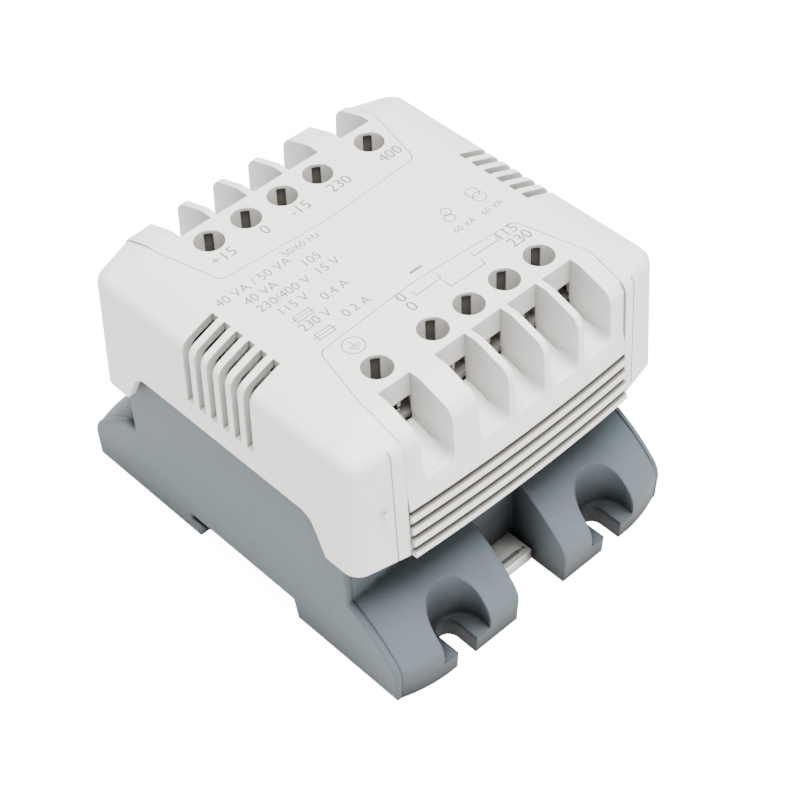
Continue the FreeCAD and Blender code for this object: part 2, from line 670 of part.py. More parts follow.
def cover_profile():
    """Side view of the cover's shell, y against z."""
    wall = size.cover_wall
    top = size.hood_top
    skirt_foot = skirt_height()
    return [
        (0.0, top), (-size.slope_start, top, 5.0), (-size.slope_end, size.slope_foot, 1.6),
        (-size.brow, size.brow_height, 3.0), (-size.face, size.face_foot, 6.0),
        (-size.flare, size.flare_height, 4.0), (-size.skirt, skirt_foot),
        (-size.skirt + wall, skirt_foot), (-size.flare + wall + 0.2, size.flare_height - 1.0),
        (-size.sill + 0.4, size.sill_height - wall), (-size.shelf + 0.4, size.shelf_height - wall),
        (-size.throat + wall, size.throat_height - wall / 2),
        (-size.pocket_back + wall, size.pocket_back_foot), (-size.pocket_back + wall, top - size.hood_wall),
        (0.0, top - size.hood_wall),
    ]


def bowed(corners, half_width):
    """A side outline turned about the far upright line of the cover's bow."""
    pivot = Vector(0, size.cover_bow - size.skirt, 0)
    angle = math.degrees(math.asin(half_width / (size.cover_bow - size.skirt)))
    face = Part.Face(soft_wire(corners, lambda p: Vector(0, p.x, p.y)))
    face.rotate(pivot, Z, -angle)
    return face.revolve(pivot, Z, 2 * angle)


def make_cover(name, end):
    shell = bowed(cover_profile(), size.cover_half * 1.2)
    shell = shell.common(prism(cover_plan(0.0), "z", skirt_height() - 1, size.hood_top + 1))
    places = [x - end * size.pattern_x for x in terminal_places()]
    tubes = [Part.makeCylinder(size.hole_bore + size.tube_wall, size.hood_top - 1 - size.tube_foot,
                               Vector(x, -size.row_half, size.tube_foot)) for x in places]
    tubes = [tube.common(cuboid(-size.cover_half, size.cover_half, -size.pocket_back + size.cover_wall / 2,
                                0, size.tube_foot, size.hood_top)) for tube in tubes]
    shell = shell.fuse(tubes)
    cutters = []
    for x in places:
        left = x - size.pocket_left
        right = x + size.pocket_right
        side = prism([(-size.pocket_back, size.hood_top + 5), (-size.pocket_back, size.pocket_back_foot),
                      (-size.throat, size.throat_height, 1.5), (-size.shelf, size.shelf_height, 6.0),
                      (-size.sill, size.sill_height, 4.0), (-size.skirt - 5, size.pocket_foot - 0.6),
                      (-size.skirt - 5, size.hood_top + 5)], "x", left, right)
        cup = prism([(left, size.hood_top + 5), (left, size.pocket_foot, size.pocket_round),
                     (right, size.pocket_foot, size.pocket_round), (right, size.hood_top + 5)],
                    "y", -size.skirt - 4, 0)
        cutters.append(side.common(cup))
        cutters.append(Part.makeCylinder(size.hole_bore, size.hood_top, Vector(x, -size.row_half, 60)))
        half = size.tube_slot / 2
        reach = size.hole_bore + size.tube_wall + 0.3
        slot = cuboid(-reach, reach, -half, half, size.tube_foot - 1, size.hood_top - size.slot_roof)
        slot.Placement = Placement(Vector(x, -size.row_half, 0), Rotation(Z, size.slot_turn))
        cutters.append(slot)
        cutters.append(cuboid(left, x + size.window_right, -size.throat - 3, -size.pocket_back + 3,
                              size.window_foot, size.window_top))
    for number in range(int(size.groove_count)):
        top = size.groove_top - number * size.groove_pitch
        low = top - size.groove_height
        fall = (size.skirt - size.flare) / (size.flare_height - skirt_height())
        root = size.flare + fall * (size.flare_height - top) - size.groove_depth
        groove = [(-root, top), (-root - fall * size.groove_height, low),
                  (-size.skirt - 2, low), (-size.skirt - 2, top)]
        cutters.append(bowed(groove, size.groove_half))
    cover = feature(name, shell.cut(cutters))
    cover.Placement = end_placement(end)


def simple(kind, name, **formulas):
    """A Part primitive or boolean whose sizes are bound to the sheet."""
    item = doc.addObject("Part::" + kind, name)
    for word, formula in formulas.items():
        item.setExpression(word.replace("_", "."), tied(formula))
    return item


def cylinder(name, x, y, low, high, radius):
    item = simple("Cylinder", name, Radius=radius, Height=f"({high}) - ({low})")
    for axis, formula in zip("xyz", (x, y, low)):
        item.setExpression(f"Placement.Base.{axis}", tied(formula))
    return item


def box(name, x_low, x_high, y_low, y_high, z_low, z_high):
    item = simple("Box", name, Length=f"({x_high}) - ({x_low})", Width=f"({y_high}) - ({y_low})",
                  Height=f"({z_high}) - ({z_low})")
    for axis, formula in zip("xyz", (x_low, y_low, z_low)):
        item.setExpression(f"Placement.Base.{axis}", tied(formula))
    return item


def cut(name, base, tools):
    item = doc.addObject("Part::Cut", name)
    item.Base = base
    if len(tools) == 1:
        item.Tool = tools[0]
    else:
        item.Tool = fuse(name + "_tools", tools)
    item.Label = name
    return item


def fuse(name, shapes):
    item = doc.addObject("Part::MultiFuse", name)
    item.Shapes = shapes
    item.Label = name
    return item


def terminal_x(number):
    """Screw x in its row's own frame; number counts from the first, set-apart terminal."""
    if number == 1:
        return "(last_terminal - 3 * pitch - first_pitch)"
    return f"(last_terminal - {5 - number} * pitch)"


def make_terminal(end, word, number):
    """Clamp screw, saddle and bar of one terminal."""
    own = terminal_x(number)
    x = f"(pattern_x + {own})" if end < 0 else f"(pattern_x - {own})"
    y = "(pattern_y - row_half)" if end < 0 else "(pattern_y + row_half)"
    tag = f"{word}_{{}}_{number}"
    head_foot = "clamp_top + head_gap"
    head_top = f"{head_foot} + head_height"
    screw = tag.format("screw")
    shank = cylinder(screw + "_shank", x, y, "screw_tip", head_foot, "screw_shank")
    head = cylinder(screw + "_head", x, y, head_foot, head_top, "screw_head")
    drive = box(screw + "_drive", f"{x} - screw_head - 1", f"{x} + screw_head + 1", f"{y} - drive_half",
                f"{y} + drive_half", f"{head_top} - drive_depth", f"{head_top} + 1")
    cut(screw, fuse(screw + "_blank", [shank, head]), [drive])
    ahead = -1 if end < 0 else 1
    middle = f"({x} - ({mirrored(ahead, 'clamp_shift')}))" if ahead > 0 else f"({x} + clamp_shift)"
    clamp = tag.format("clamp")
    front, rear = (f"{y} - clamp_front", f"{y} + clamp_rear") if end < 0 else \
        (f"{y} - clamp_rear", f"{y} + clamp_front")
    saddle = box(clamp + "_sheet", f"{middle} - clamp_half", f"{middle} + clamp_half", front, rear,
                 "clamp_foot", "clamp_top")
    left, right = f"{middle} - clamp_half + clamp_leg", f"{middle} + clamp_half - clamp_leg"
    inside = box(clamp + "_inside", left, right,
                 f"{front} - 1", f"{rear} + 1", "clamp_foot - 1", "clamp_top - clamp_sheet")
    bore = cylinder(clamp + "_bore", x, y, "clamp_foot", "clamp_top + 1", "screw_shank + screw_fit")
    cut(clamp, saddle, [inside, bore])
    front, rear = (f"{y} - bar_front", f"{y} + bar_back") if end < 0 else \
        (f"{y} - bar_back", f"{y} + bar_front")
    bar = tag.format("bar")
    strip = box(bar + "_strip", f"{middle} - bar_half", f"{middle} + bar_half", front, rear,
                "bar_top - bar_sheet", "bar_top")
    thread = cylinder(bar + "_thread", x, y, "bar_top - 2 * bar_sheet", "bar_top + 1",
                      "screw_shank + screw_fit")
    return cut(bar, strip, [thread])


def make_core():
    """E laminations with their back on top, and the I laminations that close them below."""
    half_stack = "core_stack / 2"
    seam = "core_foot + yoke"
    top = "core_foot + core_height"
    e_core = new_body("e_laminations")
    inner = "core_half - yoke"
    crown = f"{top} - yoke"
    outline = [("-core_half", seam), (f"-({inner})", seam), (f"-({inner})", crown), ("-limb_half", crown),
               ("-limb_half", seam), ("limb_half", seam), ("limb_half", crown), (inner, crown),
               (inner, seam), ("core_half", seam), ("core_half", top), ("-core_half", top)]
    pad(e_core, "stack", "XZ_Plane", [outline], f"-({half_stack})", half_stack)
    i_core = new_body("i_laminations")
    pad(i_core, "stack", "XZ_Plane", [block("-core_half", "core_half", "core_foot", seam)],
        f"-({half_stack})", half_stack)


# The bobbin's tube, and the layers wound on it, outwards.
TUBE_X = "(limb_half + former_fit + former_wall)"
TUBE_Y = "(core_stack / 2 + former_fit + former_wall)"
COIL_FOOT = "(core_foot + yoke + former_fit + flange)"
COIL_TOP = "(core_foot + core_height - yoke - former_fit - flange)"


def make_bobbin():
    """Tube, two flanges, and a terminal board on a wall at each end."""
    body = new_body("bobbin")
    pad(body, "tube", "XY_Plane", [block(f"-{TUBE_X}", TUBE_X, f"-{TUBE_Y}", TUBE_Y)],
        f"{COIL_FOOT} - flange", f"{COIL_TOP} + flange")
    for name, low, high in (("lower_flange", f"{COIL_FOOT} - flange", COIL_FOOT),
                            ("upper_flange", COIL_TOP, f"{COIL_TOP} + flange")):
        pad(body, name, "XY_Plane", [block("-flange_half", "flange_half", "-flange_reach", "flange_reach")],
            low, high)
    for sign, side in ((FRONT, "front"), (REAR, "rear")):
        face = mirrored(sign, "core_stack / 2 + former_fit")
        back = f"{face} + {mirrored(sign, 'board_sheet')}"
        low, high = (face, back) if sign > 0 else (back, face)
        under = "bar_top - bar_sheet - board_gap"
        pad(body, side + "_wall", "XY_Plane", [block("-board_half", "board_half", low, high)],
            COIL_TOP, under)
        edge = f"pattern_y + {mirrored(sign, 'board_front')}"
        low, high = (face, edge) if sign > 0 else (edge, face)
        pad(body, side + "_board", "XY_Plane", [block("-board_half", "board_half", low, high)],
            f"{under} - board_sheet", under)
        row = f"pattern_y + {mirrored(sign, 'row_half')}"
        holes = [("circle", f"pattern_x - ({mirrored(sign, terminal_x(number))})", row, "screw_shank + 0.5")
                 for number in range(1, 6)]
        pocket(body, side + "_screw_holes", "XY_Plane", holes, f"{under} - 3", f"{under} + 1")
    pocket(body, "bore", "XY_Plane",
           [block("-(limb_half + former_fit)", "limb_half + former_fit", "-(core_stack / 2 + former_fit)",
                  "core_stack / 2 + former_fit")], f"{COIL_FOOT} - 5", f"{COIL_TOP} + 5")


def make_winding(name, inside, build, on_coil=True):
    """One layer of the coil, inside beyond the bobbin tube's wall, wound on the tube or on a coil."""
    body = new_body(name)
    rounded = []
    for label, reach in (("outer", f"{inside} + {build}"), ("inner", inside)):
        x = f"({TUBE_X} + {reach})"
        y = f"({TUBE_Y} + {reach})"
        rounded.append((label, block(f"-{x}", x, f"-{y}", y)))
    foot, top = f"{COIL_FOOT} + winding_fit", f"{COIL_TOP} - winding_fit"
    coil = pad(body, "coil", "XY_Plane", [rounded[0][1]], foot, top)
    if on_coil:
        coil = pocket(body, "inside", "XY_Plane", [rounded[1][1]], f"{COIL_FOOT} - 1", f"{COIL_TOP} + 1")
    doc.recompute()
    upright = [f"Edge{number}" for number, edge in enumerate(coil.Shape.Edges, start=1)
               if abs(edge.Vertexes[0].Z - edge.Vertexes[1].Z) > 1]
    soft = body.newObject("PartDesign::Fillet", "corners")
    soft.Base = (coil, upright)
    soft.setExpression("Radius", tied("winding_round"))
    if not on_coil:
        pocket(body, "inside", "XY_Plane", [rounded[1][1]], f"{COIL_FOOT} - 1", f"{COIL_TOP} + 1")


def make_frame():
    """Steel strap over the core with a foot screwed down at each side."""
    body = new_body("core_frame")
    leg = "core_half + frame_gap"
    top = "core_foot + core_height + frame_gap"
    toe = f"{leg} + frame_sheet + frame_toe"
    outline = [(f"-({toe})", "core_foot"), (f"-({leg})", "core_foot"), (f"-({leg})", top), (leg, top),
               (leg, "core_foot"), (toe, "core_foot"), (toe, "core_foot + frame_sheet"),
               (f"{leg} + frame_sheet", "core_foot + frame_sheet"),
               (f"{leg} + frame_sheet", f"{top} + frame_sheet"),
               (f"-({leg} + frame_sheet)", f"{top} + frame_sheet"),
               (f"-({leg} + frame_sheet)", "core_foot + frame_sheet"), (f"-({toe})", "core_foot + frame_sheet")]
    pad(body, "strap", "XZ_Plane", [outline], "-frame_half", "frame_half")
    holes = [("circle", mirrored(hand, FIXING_X), "0", "fixing_bore + screw_fit") for hand in (LEFT, RIGHT)]
    pocket(body, "holes", "XY_Plane", holes, "core_foot - 1", "core_foot + frame_sheet + 1")
    for hand, word in ((LEFT, "left"), (RIGHT, "right")):
        x = mirrored(hand, FIXING_X)
        seat = "core_foot + frame_sheet + seat_gap"
        shank = cylinder(word + "_fixing_shank", x, "0", "core_foot - fixing_depth", seat, "fixing_bore")
        head = cylinder(word + "_fixing_head", x, "0", seat, f"{seat} + fixing_lift", "fixing_head")
        drive = box(word + "_fixing_drive", f"{x} - fixing_head - 1", f"{x} + fixing_head + 1", "-drive_half",
                    "drive_half", f"{seat} + fixing_lift - drive_depth", f"{seat} + fixing_lift + 1")
        cut(word + "_frame_screw", fuse(word + "_fixing_blank", [shank, head]), [drive])


def make_latch():
    """Sheet steel rail latch: plate with a spring bay, pull lip in front, tongue under the rail."""
    body = new_body("rail_latch")
    tip = "rail_centre - rail_width / 2 + latch_bite"
    pad(body, "plate", "XY_Plane", [block("-latch_half", "latch_half", "-latch_front", tip)],
        "latch_top - latch_sheet", "latch_top")
    lip = block("-latch_half", "latch_half", "-latch_front", "-latch_front + latch_sheet")
    pad(body, "lip", "XY_Plane", [lip],
        "lip_foot", "latch_top")
    pocket(body, "driver_slot", "XY_Plane",
           [block("-lip_slot_half", "lip_slot_half", "-latch_front + latch_sheet",
                  "-latch_front + latch_sheet + lip_slot")], "latch_top - latch_sheet - 1", "latch_top + 1")
    pocket(body, "spring_bay", "XY_Plane",
           [block("-bay_half", "bay_half", "-stop_y - latch_fit", SPRING_REAR)],
           "latch_top - latch_sheet - 1", "latch_top + 1")


SPRING_STEPS = 16
SPRING_FRONT = "(-stop_y + stop_sheet + spring_gap)"
SPRING_REAR = "(-stop_y + stop_sheet + spring_length + 2 * spring_gap)"


def make_spring():
    """Compression spring lying along Y between the base's stop and the latch's bay.

    Its wire is a loft of six-sided sections that stand square to the helix.
    """
    wire = size.spring_wire / 2
    coil = size.spring_bore
    pitch = (size.spring_length - size.spring_wire) / size.spring_turns
    front = amount(SPRING_FRONT) + wire
    middle = size.latch_top - size.latch_sheet / 2
    sections = []
    for step in range(int(size.spring_turns) * SPRING_STEPS + 1):
        turn = 2 * math.pi * step / SPRING_STEPS
        outward = Vector(math.cos(turn), 0, math.sin(turn))
        onward = Vector(-coil * math.sin(turn), pitch / (2 * math.pi), coil * math.cos(turn)).normalize()
        across = onward.cross(outward)
        centre = outward * coil + Vector(0, front + pitch * step / SPRING_STEPS, middle)
        corners = [centre + outward * (wire * math.cos(angle)) + across * (wire * math.sin(angle))
                   for angle in (math.pi * side / 3 for side in range(6))]
        sections.append(Part.makePolygon(corners + corners[:1]))
    feature("latch_spring", Part.makeLoft(sections, True, True))


make_base()
make_side_plates()
make_hood()
for end, word in ((FRONT, "front"), (REAR, "rear")):
    make_cover(word + "_terminal_cover", end)
    for number in range(1, 6):
        make_terminal(end, word, number)
make_core()
make_bobbin()
make_winding("secondary_winding", "winding_fit", "secondary_build", on_coil=False)
make_winding("primary_winding", "(secondary_build + 2 * winding_fit)", "primary_build")
make_winding("winding_wrap", "(secondary_build + primary_build + 3 * winding_fit)", "wrap")
make_frame()
make_latch()
make_spring()
doc.recompute()

NODES = ["base_moulding", "left_side_plate", "right_side_plate", "hood", "front_terminal_cover",
         "rear_terminal_cover", "e_laminations", "i_laminations", "bobbin", "secondary_winding",
         "primary_winding", "winding_wrap", "core_frame", "left_frame_screw", "right_frame_screw",
         "rail_latch", "latch_spring"]
NODES += [f"{word}_{kind}_{number}" for word in ("front", "rear")
          for kind in ("screw", "clamp", "bar") for number in range(1, 6)]

failed = [item.Name for item in doc.Objects if {"Invalid", "Error"} & set(item.State)]
if failed:
    raise RuntimeError("not made: " + ", ".join(failed))
pieces = {}
for name in NODES:
    item = [each for each in doc.Objects if each.Label == name][0]
    if item.Shape.isNull() or not item.Shape.isValid():
        raise RuntimeError("no valid shape: " + name)
    pieces[name] = item.Shape

os.makedirs("parts", exist_ok=True)
for name, shape in pieces.items():
    shape.exportStep(os.path.join("parts", name + ".step"))
    print(name, len(shape.Solids), round(shape.Volume, 1), len(shape.Faces))
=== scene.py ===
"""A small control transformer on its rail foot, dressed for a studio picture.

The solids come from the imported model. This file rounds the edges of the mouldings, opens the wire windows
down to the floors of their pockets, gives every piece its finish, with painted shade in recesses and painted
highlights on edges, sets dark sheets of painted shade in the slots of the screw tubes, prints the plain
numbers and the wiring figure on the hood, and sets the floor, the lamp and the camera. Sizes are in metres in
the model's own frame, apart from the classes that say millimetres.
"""

import logging
import math
from collections.abc import Sequence
from dataclasses import dataclass, field, replace
from enum import Enum

import bmesh
import bpy
import numpy as np
from mathutils import Matrix, Vector


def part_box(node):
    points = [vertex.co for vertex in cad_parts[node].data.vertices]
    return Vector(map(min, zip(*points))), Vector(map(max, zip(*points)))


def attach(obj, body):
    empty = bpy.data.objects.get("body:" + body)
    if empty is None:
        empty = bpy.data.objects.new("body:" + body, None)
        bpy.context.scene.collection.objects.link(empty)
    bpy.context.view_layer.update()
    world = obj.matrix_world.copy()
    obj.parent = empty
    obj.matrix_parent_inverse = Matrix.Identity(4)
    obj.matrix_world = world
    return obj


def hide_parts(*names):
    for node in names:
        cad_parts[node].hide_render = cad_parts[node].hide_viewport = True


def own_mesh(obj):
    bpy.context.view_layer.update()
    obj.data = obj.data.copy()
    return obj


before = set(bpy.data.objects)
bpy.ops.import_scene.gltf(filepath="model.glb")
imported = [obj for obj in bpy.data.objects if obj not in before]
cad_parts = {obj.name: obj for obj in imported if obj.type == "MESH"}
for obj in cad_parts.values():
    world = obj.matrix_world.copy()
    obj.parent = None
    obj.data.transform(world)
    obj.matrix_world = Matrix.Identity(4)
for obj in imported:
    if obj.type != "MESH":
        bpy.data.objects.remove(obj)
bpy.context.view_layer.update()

MM = 0.001
HOUSING = "housing"
LATCH = "latch"
NUMBERS = range(1, 6)
Colour = tuple[float, float, float]
Triple = tuple[float, float, float]
Point = tuple[float, float]

log = logging.getLogger("transformer")


class Side(Enum):
    """The two rows of terminals."""

    FRONT = "front"
    REAR = "rear"


class TerminalPart(Enum):
    """The pieces of one clamp terminal."""

    SCREW = "screw"
    CLAMP = "clamp"
    BAR = "bar"


class Group:
    """A shader node group under construction."""

    def __init__(self, name: str, inputs: dict[str, float | Colour], outputs: dict[str, str]) -> None:
        """Makes the group and its sockets.

        Args:
            name: The group's name.
            inputs: Socket names with their resting values; a triple makes a colour socket.
            outputs: Socket names with their socket types.
        """
        self.tree = bpy.data.node_groups.new(name, "ShaderNodeTree")
        for word, value in inputs.items():
            kind = "NodeSocketColor" if isinstance(value, tuple) else "NodeSocketFloat"
            socket = self.tree.interface.new_socket(word, in_out="INPUT", socket_type=kind)
            socket.default_value = (*value, 1.0) if isinstance(value, tuple) else value
        for word, kind in outputs.items():
            self.tree.interface.new_socket(word, in_out="OUTPUT", socket_type=kind)
        self.inputs = self.tree.nodes.new("NodeGroupInput").outputs
        self.outputs = self.tree.nodes.new("NodeGroupOutput").inputs

    def node(self, kind: str, **links: object) -> bpy.types.Node:
        """Adds a node; see wired()."""
        return wired(self.tree, kind, **links)


def wired(tree: bpy.types.NodeTree, kind: str, **settings: object) -> bpy.types.Node:
    """Adds a node to a tree and sets it up.

    Args:
        tree: The node tree.
        kind: The node's type name.
        **settings: Properties by their own name, and inputs as i_NAME or i_NUMBER, with _ for a space.
            An input takes a value or another node's output.

    Returns:
        The new node.
    """
    node = tree.nodes.new(kind)
    plain = {word: value for word, value in settings.items() if not word.startswith("i_")}
    for word, value in plain.items():
        setattr(node, word, value)
    for word, value in settings.items():
        if word in plain:
            continue
        key = word[2:].replace("_", " ")
        socket = node.inputs[int(key)] if key.isdigit() else node.inputs[key]
        if isinstance(value, bpy.types.NodeSocket):
            tree.links.new(value, socket)
        else:
            socket.default_value = value
    return node


def clouds_group() -> bpy.types.NodeTree:
    """Colour clouds and a fine grain that moulded and printed surfaces share.

    Two noises at different sizes shift the colour a little; a third, much finer, is the grain's height.

    Returns:
        The group, with Colour, Height and Roughness outputs.
    """
    group = Group(
        "moulded_clouds",
        {"Colour": (0.8, 0.8, 0.8), "Cloud": (0.7, 0.7, 0.7), "Cloud Size": 60.0, "Cloud Amount": 0.5,
         "Grain Size": 4000.0, "Roughness": 0.5, "Roughness Spread": 0.05},
        {"Colour": "NodeSocketColor", "Height": "NodeSocketFloat", "Roughness": "NodeSocketFloat"},
    )
    place = group.node("ShaderNodeTexCoord").outputs["Object"]
    broad = group.node("ShaderNodeTexNoise", i_Vector=place, i_Scale=group.inputs["Cloud Size"],
                       i_Detail=3.0, i_Roughness=0.6)
    share = group.node("ShaderNodeMath", operation="MULTIPLY", i_0=broad.outputs["Fac"],
                       i_1=group.inputs["Cloud Amount"])
    tone = group.node("ShaderNodeMix", data_type="RGBA", i_0=share.outputs[0],
                      i_6=group.inputs["Colour"], i_7=group.inputs["Cloud"])
    grain = group.node("ShaderNodeTexNoise", i_Vector=place, i_Scale=group.inputs["Grain Size"],
                       i_Detail=2.0, i_Roughness=0.5)
    spread = group.node("ShaderNodeMath", operation="MULTIPLY_ADD", i_0=broad.outputs["Fac"],
                        i_1=group.inputs["Roughness Spread"], i_2=group.inputs["Roughness"])
    links = group.tree.links
    links.new(tone.outputs[2], group.outputs["Colour"])
    links.new(grain.outputs["Fac"], group.outputs["Height"])
    links.new(spread.outputs[0], group.outputs["Roughness"])
    return group.tree


def strokes_group() -> bpy.types.NodeTree:
    """Fine drawn or rolled lines: a noise stretched along one axis, for metal, sheets and wire.

    Returns:
        The group, with Colour, Height and Roughness outputs.
    """
    group = Group(
        "drawn_strokes",
        {"Colour": (0.6, 0.6, 0.6), "Stain": (0.4, 0.4, 0.4), "Size": 900.0, "Stretch X": 1.0,
         "Stretch Y": 1.0, "Stretch Z": 1.0, "Stain Amount": 0.5, "Roughness": 0.35, "Roughness Spread": 0.2},
        {"Colour": "NodeSocketColor", "Height": "NodeSocketFloat", "Roughness": "NodeSocketFloat"},
    )
    place = group.node("ShaderNodeTexCoord").outputs["Object"]
    scale = group.node("ShaderNodeCombineXYZ", i_0=group.inputs["Stretch X"], i_1=group.inputs["Stretch Y"],
                       i_2=group.inputs["Stretch Z"])
    stretched = group.node("ShaderNodeVectorMath", operation="MULTIPLY", i_0=place, i_1=scale.outputs[0])
    lines = group.node("ShaderNodeTexNoise", i_Vector=stretched.outputs[0], i_Scale=group.inputs["Size"],
                       i_Detail=4.0, i_Roughness=0.65)
    patches = group.node("ShaderNodeTexNoise", i_Vector=place, i_Scale=250.0, i_Detail=3.0, i_Roughness=0.6)
    blend = group.node("ShaderNodeMath", operation="MULTIPLY", i_0=lines.outputs["Fac"],
                       i_1=patches.outputs["Fac"])
    share = group.node("ShaderNodeMath", operation="MULTIPLY", use_clamp=True, i_0=blend.outputs[0],
                       i_1=group.inputs["Stain Amount"])
    tone = group.node("ShaderNodeMix", data_type="RGBA", i_0=share.outputs[0],
                      i_6=group.inputs["Colour"], i_7=group.inputs["Stain"])
    spread = group.node("ShaderNodeMath", operation="MULTIPLY_ADD", i_0=lines.outputs["Fac"],
                        i_1=group.inputs["Roughness Spread"], i_2=group.inputs["Roughness"])
    links = group.tree.links
    links.new(tone.outputs[2], group.outputs["Colour"])
    links.new(lines.outputs["Fac"], group.outputs["Height"])
    links.new(spread.outputs[0], group.outputs["Roughness"])
    return group.tree


def edge_highlight_group() -> bpy.types.NodeTree:
    """Rounded corners in the shading, and a painted highlight: a paler tone where the surface turns.

    The share of the painted highlight's tone is gain times (1 - the cosine between the rounded and the plain
    normal).

    Returns:
        The group, with Colour and Normal outputs.
    """
    group = Group(
        "rounded_edges_painted_highlight",
        {"Colour": (0.8, 0.8, 0.8), "Edge": (0.9, 0.9, 0.9), "Radius": 0.35 * MM, "Gain": 6.0},
        {"Colour": "NodeSocketColor", "Normal": "NodeSocketVector"},
    )
    rounded = group.node("ShaderNodeBevel", samples=4, i_Radius=group.inputs["Radius"])
    plain = group.node("ShaderNodeNewGeometry").outputs["Normal"]
    turn = group.node("ShaderNodeVectorMath", operation="DOT_PRODUCT", i_0=rounded.outputs[0], i_1=plain)
    away = group.node("ShaderNodeMath", operation="SUBTRACT", i_0=1.0, i_1=turn.outputs["Value"])
    mask = group.node("ShaderNodeMath", operation="MULTIPLY", use_clamp=True, i_0=away.outputs[0],
                      i_1=group.inputs["Gain"])
    tone = group.node("ShaderNodeMix", data_type="RGBA", i_0=mask.outputs[0],
                      i_6=group.inputs["Colour"], i_7=group.inputs["Edge"])
    group.tree.links.new(tone.outputs[2], group.outputs["Colour"])
    group.tree.links.new(rounded.outputs[0], group.outputs["Normal"])
    return group.tree


def shade_paint_group() -> bpy.types.NodeTree:
    """Painted shade: a deeper tone painted into grooves, wells and corners, where nearby faces close the air
    off.

    The share of the painted shade is strength times (1 - openness); between two heights it falls to a part of
    that.

    Returns:
        The group, with a Colour output.
    """
    group = Group(
        "painted_hollow_shade",
        {"Colour": (0.8, 0.8, 0.8), "Deep": (0.2, 0.2, 0.2), "Strength": 1.0, "Reach": 10 * MM,
         "Fade From": 0.0, "Fade To": 1.0, "Left Above": 1.0},
        {"Colour": "NodeSocketColor"},
    )
    # Ambient occlusion drives the painted shade: the less of the surround a point sees, the darker it is
    # painted.
    openness = group.node("ShaderNodeAmbientOcclusion", samples=8, i_Distance=group.inputs["Reach"])
    closed = group.node("ShaderNodeMath", operation="SUBTRACT", i_0=1.0, i_1=openness.outputs["AO"])
    share = group.node("ShaderNodeMath", operation="MULTIPLY", use_clamp=True, i_0=closed.outputs[0],
                       i_1=group.inputs["Strength"])
    place = group.node("ShaderNodeTexCoord").outputs["Object"]
    height = group.node("ShaderNodeSeparateXYZ", i_0=place).outputs["Z"]
    left = group.node("ShaderNodeMapRange", i_0=height, i_1=group.inputs["Fade From"],
                      i_2=group.inputs["Fade To"], i_3=1.0, i_4=group.inputs["Left Above"])
    mask = group.node("ShaderNodeMath", operation="MULTIPLY", i_0=share.outputs[0], i_1=left.outputs[0])
    tone = group.node("ShaderNodeMix", data_type="RGBA", i_0=mask.outputs[0],
                      i_6=group.inputs["Colour"], i_7=group.inputs["Deep"])
    group.tree.links.new(tone.outputs[2], group.outputs["Colour"])
    return group.tree


class Palette:
    """The shared node groups, made once."""

    def __init__(self) -> None:
        """Builds the groups."""
        self.clouds = clouds_group()
        self.strokes = strokes_group()
        self.edges = edge_highlight_group()
        self.shade_paint = shade_paint_group()


def blank_material(name: str) -> tuple[bpy.types.Material, bpy.types.NodeTree, bpy.types.Node]:
    """An empty material, named as a finish because the record's slots have the plain names.

    Args:
        name: The finish's name.

    Returns:
        The material, its node tree and its Principled shader.
    """
    material = bpy.data.materials.new(name + "_finish")
    material.use_nodes = True
    return material, material.node_tree, material.node_tree.nodes["Principled BSDF"]


@dataclass(frozen=True)
class PaintedShade:
    """Painted shade: how much darker a finish is painted in recesses, how far a face counts as near, and
    where that fades.
    """

    depth: float
    reach: float
    tint: Colour = (1.0, 1.0, 1.0)
    gain: float = 2.0
    fade_from: float = 0.0
    fade_to: float = 1.0
    left_above: float = 1.0

    def shade(self, tree: bpy.types.NodeTree, palette: Palette, colour: bpy.types.NodeSocket,
              plain: Colour) -> bpy.types.NodeSocket:
        """Paints shade into a colour in grooves, wells and corners.

        Args:
            tree: The material's nodes.
            palette: The shared node groups.
            colour: The colour so far.
            plain: The finish's plain colour.

        Returns:
            The new colour.
        """
        deep = (part * tint * (1 - self.depth) for part, tint in zip(plain, self.tint))
        return wired(tree, "ShaderNodeGroup", node_tree=palette.shade_paint, i_Colour=colour, i_Deep=(*deep, 1.0),
                     i_Strength=self.depth * self.gain, i_Reach=self.reach, i_Fade_From=self.fade_from,
                     i_Fade_To=self.fade_to, i_Left_Above=self.left_above).outputs["Colour"]


